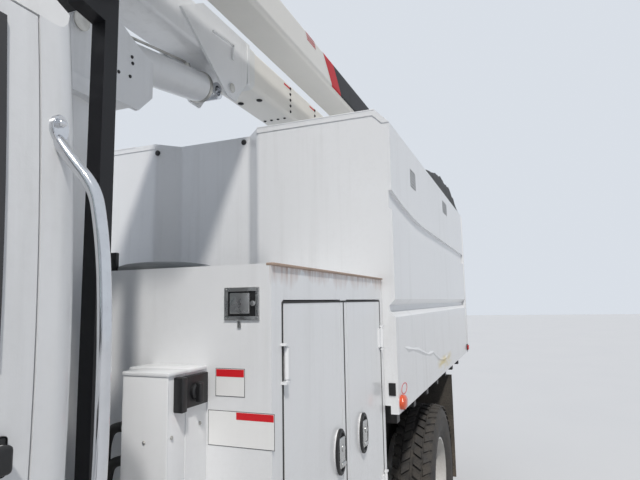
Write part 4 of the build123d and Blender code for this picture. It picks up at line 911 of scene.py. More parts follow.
def build_torn_seal(half, top, corner):
    """The torn rubber flap that stands up along the roof's left edge."""
    shape = bmesh.new()
    arch = ((0.0, 0.012), (0.18, 0.075), (0.39, 0.145), (0.67, 0.135), (0.90, 0.065), (1.0, 0.012))
    start, length, count = -1.27, 1.98, 48
    grid = []
    for n in range(count + 1):
        t = n / count
        for (t0, rise0), (t1, rise1) in zip(arch, arch[1:]):
            if t0 <= t <= t1:
                rise = rise0 + (rise1 - rise0) * (t - t0) / (t1 - t0)
        rise *= 1 + 0.05 * sin(31 * t) + 0.04 * sin(77 * t + 1)
        base = Vector((start - length * t, half - corner * 0.45, top - corner * 0.55))
        sway = 0.006 * sin(9 * t + 1) + 0.002 * sin(47 * t)
        row = [base + Vector((0, 0.012, -0.012))]
        for up in (0.0, 0.3, 0.65, 1.0):
            row.append(base + Vector((0, 0.004 + sway * up - 0.012 * up * up, 0.004 + rise * up)))
        grid.append([shape.verts.new(place) for place in row])
    for first, second in zip(grid, grid[1:]):
        for a, b, c, d in zip(first, first[1:], second[1:], second):
            shape.faces.new((a, b, c, d))
    piece = finish("torn_roof_seal", shape, "hose_rubber")
    thick = piece.modifiers.new("thickness", "SOLIDIFY")
    thick.thickness = 0.005
    thick.offset = 1.0


# Tool box details

def build_tool_box_trim():
    """Rusty lips, latches, notices, the valve box and the cover on the tool boxes."""
    top = TOOL_TOP
    front = TOOL_HIGH[0]
    back = TOOL_LOW[0]
    for side, name in SIDES:
        y = side * 1.152
        shape = bmesh.new()
        add_box(shape, (back + 0.004, y - side * 0.016, top - 0.0065),
                (front + 0.0015, y + side * 0.009, top + 0.0020), 0.0025)
        finish(f"rusty_lip_{name}", shape, "rusty_steel")
        # Dark rubber strips on the box face behind the door gaps: door seals, and also painted shade that
        # shows through the gaps.
        shape = bmesh.new()
        low_z, high_z = FRONT_DOOR_LOW[2] + 0.002, FRONT_DOOR_HIGH[2] - 0.002
        for x in (REAR_DOOR_LOW[0], (REAR_DOOR_HIGH[0] + FRONT_DOOR_LOW[0]) / 2, FRONT_DOOR_HIGH[0]):
            add_box(shape, (x - 0.0045, y - side * 0.001, low_z), (x + 0.0045, y + side * 0.0012, high_z),
                    0.0004, 1)
        for z in (low_z, high_z):
            add_box(shape, (REAR_DOOR_LOW[0], y - side * 0.001, z - 0.0035),
                    (FRONT_DOOR_HIGH[0], y + side * 0.0012, z + 0.0035), 0.0004, 1)
        finish(f"tool_door_seals_and_gap_shade_{name}", shape, "hose_rubber", "chassis")
        build_rotary_latches(side, name)
    build_recessed_latch(front)
    build_stickers(front)
    build_valve_box(front)
    build_top_cover(top)


DOOR_FACE = FRONT_DOOR_HIGH[1] - 0.012


def build_rotary_latches(side, name):
    """Oval pull handles with a lock in the middle, one on each door."""
    for place, x in (("front", 0.700), ("rear", 0.410)):
        y, z = side * DOOR_FACE, 1.235
        shape = bmesh.new()
        ring = around(32, 1.0)
        layers = ((0.050, 0.082, 0.0), (0.050, 0.082, 0.007), (0.046, 0.078, 0.010), (0.038, 0.070, 0.010),
                  (0.034, 0.066, 0.004))
        made = [[shape.verts.new((x + a * c, y + side * d, z + b * s)) for c, s in ring]
                for a, b, d in layers]
        for first, second in zip(made, made[1:]):
            for n in range(32):
                shape.faces.new((first[n], first[(n + 1) % 32], second[(n + 1) % 32], second[n]))
        shape.faces.new(made[-1])
        finish(f"latch_rim_{name}_{place}", shape, "black_plastic", f"tool_door_{name}_{place}")
        shape = bmesh.new()
        add_box(shape, (x - 0.027, y + side * 0.003, z - 0.055),
                (x + 0.027, y + side * 0.013, z + 0.052), 0.006, 3)
        add_turned(shape, (x, y + side * 0.011, z + 0.014), (0, side, 0),
                   ((0, 0.013), (0.005, 0.013), (0.007, 0.010), (0.007, 0.004)), 20)
        add_box(shape, (x - 0.021, y + side * 0.010, z - 0.050),
                (x + 0.021, y + side * 0.019, z - 0.034), 0.004, 3)
        finish(f"latch_paddle_{name}_{place}", shape, "stainless", f"tool_door_{name}_{place}")


def build_recessed_latch(front):
    """A stainless paddle latch let into the front face, with a black sheet as painted shade and dark
    reflection in its pan.
    """
    shape = bmesh.new()
    y0, y1, z0, z1 = 1.000, 1.116, 1.733, 1.828
    x = front + 0.0005
    rim = 0.012
    for low, high in (((y0, z0), (y1, z0 + rim)), ((y0, z1 - rim), (y1, z1)),
                      ((y0, z0 + rim), (y0 + rim, z1 - rim)), ((y1 - rim, z0 + rim), (y1, z1 - rim))):
        add_box(shape, (x, low[0], low[1]), (x + 0.005, high[0], high[1]), 0.0015)
    add_box(shape, (x + 0.001, y0 + 0.020, z0 + 0.018), (x + 0.007, y1 - 0.030, z1 - 0.016), 0.003)
    add_box(shape, (x, y0 + 0.044, z0 - 0.022), (x + 0.004, y0 + 0.056, z0 + 0.004), 0.0015)
    add_turned(shape, (x + 0.001, y1 - 0.020, z0 + 0.048), (1, 0, 0),
               ((0, 0.008), (0.005, 0.008), (0.006, 0.006)), 16)
    for y in (y0 + 0.006, y1 - 0.006):
        for z in (z0 + 0.006, z1 - 0.006):
            add_turned(shape, (x + 0.004, y, z), (1, 0, 0), ((0, 0.0032), (0.002, 0.0028)), 10)
    finish("recessed_latch", shape, "stainless")
    # Black sheet inside the rim: painted shade and dark reflection of the latch's recessed pan.
    shape = bmesh.new()
    add_box(shape, (x + 0.0002, y0 + 0.008, z0 + 0.008), (x + 0.0012, y1 - 0.008, z1 - 0.008), 0.0003, 1)
    finish("latch_pan_painted_shade", shape, "black_plastic")


STICKERS = (
    # right edge, bottom, left edge, top, share of the height that is red
    (0.972, 1.518, 1.066, 1.594, 0.29), (0.948, 1.380, 1.160, 1.475, 0.22),
)


def build_stickers(front):
    """Blank two-tone notices with a thin dark border on the tool box's front face."""
    x = front + 0.0006
    for index, (y0, z0, y1, z1, red) in enumerate(STICKERS):
        shape = bmesh.new()
        add_box(shape, (x, y0 - 0.0016, z0 - 0.0016), (x + 0.0006, y1 + 0.0016, z1 + 0.0016), 0.0002, 1)
        finish(f"notice_{index + 1}_border", shape, "cab_trim", "chassis")
        shape = bmesh.new()
        add_box(shape, (x + 0.0002, y0, z0), (x + 0.0010, y1, z1), 0.0003, 1)
        finish(f"notice_{index + 1}_ground", shape, "sticker_white")
        shape = bmesh.new()
        split = z1 - (z1 - z0) * red
        left = y0 if index == 0 else y0 + (y1 - y0) * 0.43
        add_box(shape, (x + 0.0009, left + 0.001, split), (x + 0.0015, y1 - 0.001, z1 - 0.001), 0.0002, 1)
        finish(f"notice_{index + 1}_header", shape, "sticker_red")


def build_valve_box(front):
    """The deep cover, bolts, cam latch and hoses of the outrigger valve box."""
    back, face = front + 0.099, front + 0.180
    right, left, bottom, top = 0.794, 0.940, 1.10, 1.600
    shape = bmesh.new()
    add_box(shape, (back, right, bottom + 0.004), (face - 0.004, left - 0.001, top - 0.006), 0.004)
    add_box(shape, (face - 0.006, right - 0.003, bottom), (face, left + 0.001, top - 0.004), 0.0025)
    add_box(shape, (front + 0.004, right - 0.054, top - 0.008),
            (back + 0.002, left + 0.004, top + 0.003), 0.003)
    add_box(shape, (back - 0.004, right - 0.004, top - 0.008),
            (face + 0.003, left + 0.004, top + 0.003), 0.003)
    for y in (right + 0.018, left - 0.018):
        add_bolt(shape, (face, y, bottom + 0.03), (1, 0, 0), 0.0055, 0.004, washer=False)
    finish("valve_box_cover", shape, "box_white")
    shape = bmesh.new()
    add_box(shape, (face - 0.050, left - 0.002, top - 0.104),
            (face - 0.026, left + 0.028, top - 0.012), 0.004)
    add_box(shape, (front + 0.012, left - 0.002, top - 0.100),
            (face - 0.040, left + 0.013, top - 0.014), 0.003)
    x, z = face - 0.105, top - 0.058
    add_turned(shape, (x, left + 0.010, z), (0, 1, 0), ((0, 0.023), (0.010, 0.023), (0.014, 0.018)), 24)
    add_box(shape, (x - 0.009, left + 0.018, z - 0.030), (x + 0.009, left + 0.036, z + 0.024), 0.004, 3)
    finish("cam_latch", shape, "black_plastic")
    shape = bmesh.new()
    for x, z in ((front + 0.034, 1.445), (face - 0.020, 1.435)):
        add_turned(shape, (x, left - 0.002, z), (0, 1, 0),
                   ((0, 0.0050), (0.004, 0.0050), (0.006, 0.0025)), 12)
    add_turned(shape, (face - 0.001, 0.868, 1.422), (1, 0, 0),
               ((0, 0.0050), (0.003, 0.0050), (0.005, 0.0025)), 12)
    finish("valve_box_studs", shape, "zinc")
    outlets = ((front + 0.135, 1.445, 0.0), (front + 0.128, 1.352, 0.03))
    for n, (x, z, drop) in enumerate(outlets):
        route = ((x, right + 0.004, z), (x, right - 0.045, z + 0.004), (x - 0.004, right - 0.096, z - 0.02),
                 (x - 0.012, right - 0.112, z - 0.12), (x - 0.030, right - 0.118, 1.16 - drop),
                 (front + 0.04, 0.66, 1.00), (front + 0.02, 0.58, 0.94 - drop),
                 (front, 0.47 - drop, 0.92 - drop))
        tube(f"valve_hose_{n + 1}", [route], 0.014, "hose_rubber")
    shape = bmesh.new()
    for x, z, _ in outlets:
        add_turned(shape, (x, right + 0.001, z), (0, -1, 0),
                   ((0, 0.021), (0.010, 0.021), (0.011, 0.018), (0.030, 0.018), (0.032, 0.014)), 18)
    finish("valve_hose_fittings", shape, "zinc")


def build_top_cover(top):
    """The low rubber dome over the filler of the left tool box, with its strap bracket."""
    shape = bmesh.new()
    add_turned(shape, (1.07, 0.66, top - 0.0005), (0, 0, 1),
               ((0, 0.161), (0.005, 0.164), (0.012, 0.164), (0.0185, 0.158), (0.024, 0.142), (0.029, 0.110),
                (0.032, 0.072), (0.0335, 0.035), (0.034, 0.008)), 56)
    finish("filler_dome", shape, "lid_grey")
    shape = bmesh.new()
    add_box(shape, (1.190, 0.530, top - 0.002), (1.206, 0.556, top + 0.064), 0.003)
    add_box(shape, (1.178, 0.526, top - 0.002), (1.218, 0.562, top + 0.006), 0.002)
    finish("dome_bracket", shape, "black_plastic")


# Cab and nose details

def build_cab_details():
    """Door handles and windscreen wipers."""
    for side, name in SIDES:
        shape = bmesh.new()
        y = side * 1.0502
        x0 = DOOR_LOW[0] + 0.045
        add_box(shape, (x0, y, 1.520), (x0 + 0.185, y + side * 0.006, 1.582), 0.006, 3)
        add_box(shape, (x0 + 0.005, y + side * 0.010, 1.528), (x0 + 0.180, y + side * 0.031, 1.572), 0.008, 3)
        add_turned(shape, (x0 + 0.210, y - side * 0.002, 1.55), (0, side, 0),
                   ((0, 0.014), (0.006, 0.014), (0.008, 0.010)), 20)
        finish(f"door_handle_{name}", shape, "black_plastic", f"cab_door_{name}")
    shape = bmesh.new()
    for y in (-0.42, 0.32):
        base = Vector((CAB_HIGH[0] - 0.045, y, 1.775))
        tip = Vector((CAB_HIGH[0] - 0.30, y + 0.34, 2.085))
        along = tip - base
        matrix = Matrix.Translation(base + Vector((0.028, 0, 0.022))) @ axis_matrix(along)
        for low, high in (((-0.006, -0.004, 0), (0.006, 0.008, along.length * 0.72)),
                          ((-0.004, -0.010, along.length * 0.35), (0.004, 0.002, along.length))):
            add_prism(shape, [matrix @ Vector(corner) for corner in box_corners(low, high)])
        add_turned(shape, base + Vector((0.006, 0, 0.0)), (0.6, 0, 0.8),
                   ((0, 0.016), (0.02, 0.014), (0.028, 0.008)), 16)
    finish("wipers", shape, "black_plastic")


# Booms

# Heights of the flat part of the upper boom's side, the radius over and under it, and the band's top edge
BAND_FLAT = (3.422, 3.578)
BAND_ROUND = 0.030
BAND_TOP = 3.608
BAND_RISE = 0.0008


def band_rows():
    """Y, Z points up the upper boom's side and round both of its corners."""
    low, high = BAND_FLAT
    reach = BAND_ROUND + BAND_RISE

    def corner(z, angles):
        return [(BOOM_FACE - BAND_ROUND + reach * cos(radians(a)),
                 z + reach * sin(radians(a))) for a in angles]

    flat = [(BOOM_FACE + BAND_RISE, low + (high - low) * n / 6) for n in range(7)]
    return corner(low, (-35, -24, -12)) + flat + corner(high, (12, 24, 36))


def add_wrapped_band(shape, front, back, rows=None):
    """A thin skin on the boom's side between two slanted ends; front and back give X at a height."""
    points = rows or band_rows()
    columns = []
    for end in (front, back):
        columns.append([shape.verts.new((end(z), y, z)) for y, z in points])
    for n in range(len(points) - 1):
        shape.faces.new((columns[0][n], columns[1][n], columns[1][n + 1], columns[0][n + 1]))


def build_boom_marks():
    """The black band with its slanted red start, and a small blank striped mark."""
    def slant(x, lean, top=BAND_TOP):
        return lambda z: x - (top - z) * lean

    shape = bmesh.new()
    add_wrapped_band(shape, slant(-0.950, 0.98), slant(-3.30, 0.98))
    finish("boom_band", shape, "band_black", "upper_boom")
    shape = bmesh.new()
    add_wrapped_band(shape, slant(-0.737, 1.01), slant(-0.950, 0.98))
    finish("boom_stripe", shape, "band_red", "upper_boom")
    shape = bmesh.new()
    face, high = BOOM_FACE + BAND_RISE, BAND_FLAT[1]
    for row in range(5):
        z = 3.542 + row * 0.0115
        points = [(face, z), (face, z + 0.006)]
        if z > 3.575:
            turns = [max(0.0, (v - high) / BAND_ROUND) for v in (z, z + 0.006)]
            points = [(face - BAND_ROUND * (1 - cos(a)), high + BAND_ROUND * sin(a)) for a in turns]
        add_wrapped_band(shape, slant(-0.43, 0.5, 3.60), slant(-0.585, 0.5, 3.60), points)
    finish("boom_mark", shape, "band_red", "upper_boom")


# Y, Z corners of the lower boom's moulded sleeve, and the head of a round bolt
SLEEVE_LOW, SLEEVE_HIGH = (-0.040, 3.205), (0.230, 3.475)
ROUND_HEAD = ((0, 0.0115), (0.004, 0.0115), (0.007, 0.0085), (0.009, 0.0040))


def section_ring(x, low, high, radius, grow=0.0):
    """Points round a rounded square section at one X."""
    centre = ((low[0] + high[0]) / 2, (low[1] + high[1]) / 2)
    size = (high[0] - low[0] + 2 * grow, high[1] - low[1] + 2 * grow)
    return [(x, y, z) for y, z in rounded_loop(centre, size, radius + grow, 8)]


def build_boom_sleeve():
    """The moulded length of the lower boom with its collar, over the inner tube."""
    low, high = SLEEVE_LOW, SLEEVE_HIGH
    shape = bmesh.new()
    stations = (-0.300, -0.92, -1.42, -2.2, -3.0, -3.652)
    outer = [section_ring(x, low, high, 0.034) for x in stations]
    inner = [section_ring(x, low, high, 0.034, -0.009) for x in reversed(stations)]
    add_loop_strip(shape, inner, outer)
    finish("boom_sleeve", shape, "fibreglass", "lower_boom")
    shape = bmesh.new()
    profile = ((-0.262, -0.002), (-0.262, 0.003), (-0.265, 0.0055), (-0.334, 0.0055), (-0.338, 0.0015),
               (-0.338, -0.002))
    rings = [section_ring(x, low, high, 0.034, grow) for x, grow in profile]
    add_loop_strip(shape, rings[:3], rings[3:])
    finish("sleeve_collar", shape, "bucket_shell", "lower_boom")
    shape = bmesh.new()
    for x, y in ((-0.52, 0.02), (-0.52, 0.17)):
        add_turned(shape, (x, y, low[1] + 0.001), (0, 0, -1),
                   ((0, 0.021), (0.006, 0.021), (0.010, 0.014)), 20)
    finish("sleeve_plugs", shape, "black_plastic", "lower_boom")


def build_boom_bolts():
    """Rows of bolts where the fibreglass is held in the steel, and small blank marks over them."""
    (far, low), (face, high) = SLEEVE_LOW, SLEEVE_HIGH
    shape = bmesh.new()
    for x in (-0.91, -1.41, -3.42):
        for n in range(5):
            z = low + 0.042 + n * (high - low - 0.084) / 4
            for y, way in ((face, 1), (far, -1)):
                add_turned(shape, (x, y - way * 0.001, z), (0, way, 0), ROUND_HEAD, 14)
        for n in range(4):
            y = far + 0.05 + n * (face - far - 0.10) / 3
            add_turned(shape, (x, y, low + 0.001), (0, 0, -1), ROUND_HEAD, 14)
    finish("lower_boom_bolts", shape, "black_plastic", "lower_boom")
    shape = bmesh.new()
    for x in (-0.83, -1.33):
        add_box(shape, (x - 0.075, face - 0.0002, high - 0.050), (x + 0.030, face + 0.0010, high - 0.036),
                0.0003, 1)
    finish("lower_boom_marks", shape, "sticker_red", "lower_boom")
    shape = bmesh.new()
    start, bend, end = [Vector((x, 0.242, z)) for x, z in ((0.173, 3.348), (-0.047, 3.365), (-0.047, 3.274))]
    for first, second in ((start, bend), (bend, end)):
        along = (second - first).normalized()
        wide = Vector((0, 1, 0)).cross(along) * 0.006
        corners = [first - wide - along * 0.004, first + wide - along * 0.004, second + wide + along * 0.004,
                   second - wide + along * 0.004]
        add_prism(shape, [c + Vector((0, out, 0)) for out in (-0.001, 0.007) for c in corners])
    finish("wedge_plate_bar", shape, "boom_white", "lower_boom")


def rounded_loop(centre, size, radius, per_corner=6):
    """Points of a rounded rectangle, anticlockwise."""
    (u0, v0), (width, height) = centre, size
    points = []
    for turn, su, sv in ((0, 1, 1), (1, -1, 1), (2, -1, -1), (3, 1, -1)):
        for n in range(per_corner + 1):
            angle = (turn + n / per_corner) * pi / 2
            points.append((u0 + su * (width / 2 - radius) + radius * cos(angle),
                           v0 + sv * (height / 2 - radius) + radius * sin(angle)))
    return points


def add_loop_strip(shape, inner, outer, closed=True):
    """Faces between rings of points that have the same count, the last ring joined to the first."""
    rings = [[shape.verts.new(p) for p in ring] for ring in (*inner, *outer)]
    count = len(rings[0])
    for first, second in zip(rings, rings[1:] + rings[:1]):
        for n in range(count if closed else count - 1):
            after = (n + 1) % count
            shape.faces.new((first[n], first[after], second[after], second[n]))


def add_hoop(shape, loop, place, inner_offset, thick, width):
    """A strap round a closed loop: place turns (u, v, w) into X, Y, Z."""
    count = len(loop)
    centre_u = sum(p[0] for p in loop) / count
    centre_v = sum(p[1] for p in loop) / count
    rings = []
    for offset, w in ((inner_offset, -width / 2), (inner_offset + thick, -width / 2),
                      (inner_offset + thick, width / 2), (inner_offset, width / 2)):
        ring = []
        for n, (u, v) in enumerate(loop):
            before, after = loop[n - 1], loop[(n + 1) % count]
            normal = Vector((after[1] - before[1], before[0] - after[0])).normalized()
            if normal.dot(Vector((u - centre_u, v - centre_v))) < 0:
                normal = -normal
            ring.append(place(u + normal.x * offset, v + normal.y * offset, w))
        rings.append(ring)
    add_loop_strip(shape, rings[:2], rings[2:])


def add_seal(shape, corners, normal, width, thick, lift=0.0):
    """A flat rubber frame round a flat opening, mitred at its corners."""
    normal = Vector(normal).normalized()
    corners = [Vector(c) for c in corners]
    count = len(corners)
    middle = sum(corners, Vector()) / count

    def ring(offset, rise):
        points = []
        for n, corner in enumerate(corners):
            before = (corner - corners[n - 1]).normalized()
            after = (corners[(n + 1) % count] - corner).normalized()
            out_a, out_b = before.cross(normal), after.cross(normal)
            if out_a.dot(corner - middle) < 0:
                out_a = -out_a
            if out_b.dot(corner - middle) < 0:
                out_b = -out_b
            bisector = (out_a + out_b).normalized()
            reach = offset / max(bisector.dot(out_a), 0.3)
            points.append(corner + bisector * reach + normal * (lift + rise))
        return points

    add_loop_strip(shape, (ring(-width * 0.35, 0), ring(-width * 0.30, thick * 0.8), ring(0, thick)),
                   (ring(width * 0.6, thick * 0.8), ring(width * 0.65, 0)))


def add_rod(shape, start, end, radius, steps=12):
    """A round rod between two points."""
    start, end = Vector(start), Vector(end)
    add_turned(shape, start, end - start, ((0, radius), ((end - start).length, radius)), steps)


def build_gate_hardware():
    """Lock rods, cams and handles on the rear door of the chip box."""
    x = GATE_LOW[0] - 0.016
    low, high = GATE_LOW[2], GATE_HIGH[2]
    shape = bmesh.new()
    for y in (-0.39, 0.39):
        add_rod(shape, (x, y, low + 0.03), (x, y, high - 0.03), 0.013, 16)
        for z in (low + 0.10, low + 0.45, high - 0.45, high - 0.10):
            add_box(shape, (GATE_LOW[0] - 0.001, y - 0.045, z - 0.018),
                    (GATE_LOW[0] - 0.005, y + 0.045, z + 0.018), 0.002)
            add_box(shape, (GATE_LOW[0] - 0.004, y - 0.017, z - 0.016),
                    (x - 0.018, y + 0.017, z + 0.016), 0.006, 3)
            for way in (-1, 1):
                add_bolt(shape, (GATE_LOW[0] - 0.005, y + way * 0.033, z), (-1, 0, 0), 0.007, 0.005,
                         washer=False)
        add_box(shape, (x - 0.024, y - 0.014, 1.66), (x - 0.010, y + 0.014, 1.72), 0.004)
        add_box(shape, (x - 0.030, y - 0.012, 1.675), (x - 0.020, y + 0.26, 1.705), 0.005, 3)
        add_box(shape, (GATE_LOW[0] - 0.001, y + 0.19, 1.655), (x - 0.012, y + 0.22, 1.672), 0.003)
    finish("gate_lock_rods", shape, "zinc", "chip_gate")
    shape = bmesh.new()
    for y in (-0.80, 0.80):
        for z in (1.335, 1.40):
            add_box(shape, (GATE_LOW[0] - 0.0015, y - 0.15, z - 0.025),
                    (GATE_LOW[0] - 0.0002, y + 0.15, z + 0.025), 0.0005, 1)
    finish("gate_reflectors", shape, "reflector_red", "chip_gate")


def build_rear_lamps():
    """Red lenses and housings over the tail lamps, and rims round the hitch holes."""
    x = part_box("lamps")[0][0]
    shape = bmesh.new()
    for side in (1, -1):
        add_box(shape, (x - 0.010, side * 0.338, 0.878), (x + 0.020, side * 0.422, 0.962), 0.012, 3)
    finish("tail_lamp_lenses", shape, "lens_red")
    shape = bmesh.new()
    for side in (1, -1):
        add_box(shape, (x + 0.012, side * 0.330, 0.870), (x + 0.036, side * 0.430, 0.970), 0.006, 3)
    finish("tail_lamp_housings", shape, "black_plastic")
    shape = bmesh.new()
    for y in (-0.0857, 0.0857):
        for z in (0.7555, 0.8445):
            add_turned(shape, (FRAME_REAR + 0.0005, y, z), (-1, 0, 0),
                       ((0, 0.0125), (0.0015, 0.0125), (0.002, 0.011)), 20)
    finish("hitch_hole_rims", shape, "zinc")


def build_seals():
    """Rubber round the windscreen, the rear window and the door windows."""
    back = CAB_LOW[0]
    slope = 0.5 / 0.72

    def screen(y, z):
        return (COWL_X - slope * (z - BELT_Z), y, z)

    shape = bmesh.new()
    normal = Vector((0.72, 0, 0.5)).normalized()
    add_seal(shape, [screen(-0.86, 1.76), screen(0.86, 1.76), screen(0.86, 2.37),
                     screen(-0.86, 2.37)], normal, 0.042, 0.010)
    add_seal(shape, [(back, -0.43, 1.76), (back, 0.43, 1.76), (back, 0.43, 2.26), (back, -0.43, 2.26)],
             (-1, 0, 0), 0.036, 0.010)
    finish("cab_window_seals", shape, "cab_trim")
    low, high = 1.71, 2.26
    rear, front, front_top = DOOR_LOW[0] + 0.085, DOOR_HIGH[0] - 0.085, DOOR_HIGH[0] - 0.42
    steps = 6
    for side, name in SIDES:
        corners = [(rear, side * cab_side(low), low), (front, side * cab_side(low), low)]
        for n in range(1, steps + 1):
            z = low + (high - low) * n / steps
            corners.append((front + (front_top - front) * n / steps, side * cab_side(z), z))
        for n in range(steps):
            z = high - (high - low) * n / steps
            corners.append((rear, side * cab_side(z), z))
        shape = bmesh.new()
        add_seal(shape, corners, (0, side, 0), 0.030, 0.008)
        finish(f"door_window_seal_{name}", shape, "cab_trim", f"cab_door_{name}")


def build_nose():
    """Radiator mesh, headlamp bezels and lenses, and the hood's louvres."""
    face = GRILLE_FACE
    shape = bmesh.new()
    y0, y1, z0, z1 = -0.385, 0.385, 0.945, 1.395
    add_box(shape, (face - 0.055, y0 - 0.02, z0 - 0.02), (face - 0.049, y1 + 0.02, z1 + 0.02), 0.0)
    for n in range(34):
        y = y0 + (n + 0.5) * (y1 - y0) / 34
        add_box(shape, (face - 0.049, y - 0.0022, z0), (face - 0.044, y + 0.0022, z1), 0.0)
    for n in range(20):
        z = z0 + (n + 0.5) * (z1 - z0) / 20
        add_box(shape, (face - 0.046, y0, z - 0.0022), (face - 0.041, y1, z + 0.0022), 0.0)
    finish("radiator_mesh", shape, "black_plastic", "hood", smooth=False)
    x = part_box("headlamps")[1][0]
    for side, name in SIDES:
        shape = bmesh.new()
        corners = [(x - 0.018, side * 0.78, 0.83), (x - 0.018, side * 1.08, 0.83),
                   (x - 0.018, side * 1.08, 1.03), (x - 0.018, side * 0.78, 1.03)]
        add_seal(shape, corners, (1, 0, 0), 0.030, 0.024)
        finish(f"headlamp_bezel_{name}", shape, "chrome", "hood")
        shape = bmesh.new()
        for y in (0.857, 1.003):
            add_turned(shape, (x, side * y, 0.93), (1, 0, 0),
                       ((0, 0.068), (0.004, 0.068), (0.010, 0.060), (0.014, 0.045), (0.016, 0.02)), 32)
        finish(f"headlamp_lenses_{name}", shape, "lens_clear", "hood")
        shape = bmesh.new()
        for n in range(6):
            low_x = 3.62 + n * 0.075
            add_box(shape, (low_x, side * 0.7585, 1.33), (low_x + 0.050, side * 0.7645, 1.452), 0.002, 1)
        finish(f"hood_louvres_{name}", shape, "black_plastic", "hood")


def build_tank_fittings():
    """Straps, filler caps and tread buttons on the side tanks."""
    for side, name in SIDES:
        centre = (side * 0.722, 0.660)
        loop = rounded_loop(centre, (0.520, 0.480), 0.150, 8)
        shape = bmesh.new()
        for x in (2.02, 2.34, 2.66):
            add_hoop(shape, loop, lambda u, v, w, at=x: (at + w, u, v), 0.0005, 0.004, 0.045)
        finish(f"tank_straps_{name}", shape, "stainless")
        shape = bmesh.new()
        add_turned(shape, (2.52, side * 0.925, 0.862), (0, side * 0.5, 0.86),
                   ((0, 0.046), (0.012, 0.046), (0.016, 0.040), (0.040, 0.040), (0.044, 0.034),
                    (0.045, 0.012)), 32)
        finish(f"tank_cap_{name}", shape, "black_plastic")
        shape = bmesh.new()
        for top in (0.530, 0.810):
            for n in range(22):
                for row in range(2):
                    add_turned(shape, (1.985 + n * 0.038, side * (1.005 + row * 0.032), top), (0, 0, 1),
                               ((0, 0.008), (0.0025, 0.006)), 8)
        finish(f"step_buttons_{name}", shape, "zinc")


def build_mirror_glass():
    """The mirrors' glass, in a rubber frame, facing the rear."""
    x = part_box("mirrors")[0][0]
    shape = bmesh.new()
    frame_shape = bmesh.new()
    for side in (1, -1):
        add_box(shape, (x - 0.003, side * 1.205, 1.70), (x - 0.0005, side * 1.385, 2.135), 0.001, 1)
        corners = [(x, side * 1.205, 1.70), (x, side * 1.385, 1.70), (x, side * 1.385, 2.135),
                   (x, side * 1.205, 2.135)]
        add_seal(frame_shape, corners, (-1, 0, 0), 0.014, 0.006)
    finish("mirror_glass", shape, "chrome")
    finish("mirror_rims", frame_shape, "cab_trim")


def add_oval(shape, centre, normal, half_width, half_height, layers, steps=36):
    """A dished oval plate that stands upright: layers are (scale, height) pairs from the rim inwards."""
    normal = Vector(normal).normalized()
    up = Vector((0, 0, 1))
    across = up.cross(normal).normalized()
    rings = []
    for scale, height in layers:
        rings.append([shape.verts.new(Vector(centre) + across * (half_width * scale * u)
                                      + up * (half_height * scale * v) + normal * height)
                      for u, v in around(steps, 1.0)])
    for first, second in zip(rings, rings[1:]):
        for n in range(steps):
            after = (n + 1) % steps
            shape.faces.new((first[n], first[after], second[after], second[n]))
    shape.faces.new(rings[0])
    shape.faces.new(rings[-1])


HANDLE_TOP = (
    # X, Y, Z from the upper foot to the straight length
    (1.866, 1.010, 2.098), (1.865, 1.030, 2.092), (1.862, 1.046, 2.070), (1.855, 1.072, 2.036),
    (1.849, 1.096, 2.008), (1.845, 1.112, 1.978), (1.843, 1.119, 1.940), (1.842, 1.127, 1.890),
    (1.842, 1.134, 1.830), (1.842, 1.139, 1.740),
)
HANDLE_MIDDLE = 1.625


def build_grab_handles():
    """Bent chrome bars with small dished feet behind the doors."""
    lower = [(x, y, 2 * HANDLE_MIDDLE - z) for x, y, z in reversed(HANDLE_TOP)]
    route = [*HANDLE_TOP, (1.842, 1.140, HANDLE_MIDDLE), *lower]
    routes = [[(x, side * y, z) for x, y, z in route] for side in (1, -1)]
    bars = tube("bent_grab_handles", routes, 0.0125, "chrome", roundness=5)
    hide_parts("grab_handles")
    shape = bmesh.new()
    for side in (1, -1):
        for z, way in ((2 * HANDLE_MIDDLE - 2.108, -1), (2.108, 1)):
            normal = (-0.05, side, 0)
            centre = Vector((1.866, side * 1.0385, z))
            add_oval(shape, centre, normal, 0.019, 0.027,
                     ((1.0, -0.020), (1.0, 0.0015), (0.93, 0.0040), (0.84, 0.0036), (0.70, 0.0010),
                      (0.3, 0.0)))
            add_turned(shape, centre + Vector((0, 0, way * 0.010)), normal,
                       ((-0.002, 0.0080), (0.004, 0.0080), (0.008, 0.0066), (0.0105, 0.0040),
                        (0.0115, 0.0010)), 24)
    finish("handle_flanges", shape, "chrome")


def build_guard_bolts():
    """Bolts that hold the cab guard's deck."""
    post_x = GUARD_LOW[0] + 0.022
    shape = bmesh.new()
    for side in (1, -1):
        for x in (post_x, post_x + 0.12, post_x + 0.28, post_x + 0.44):
            add_bolt(shape, (x, side * 0.859, GUARD_HIGH[2]), (0, 0, 1), 0.009, 0.008)
    finish("guard_bolts", shape, "zinc")


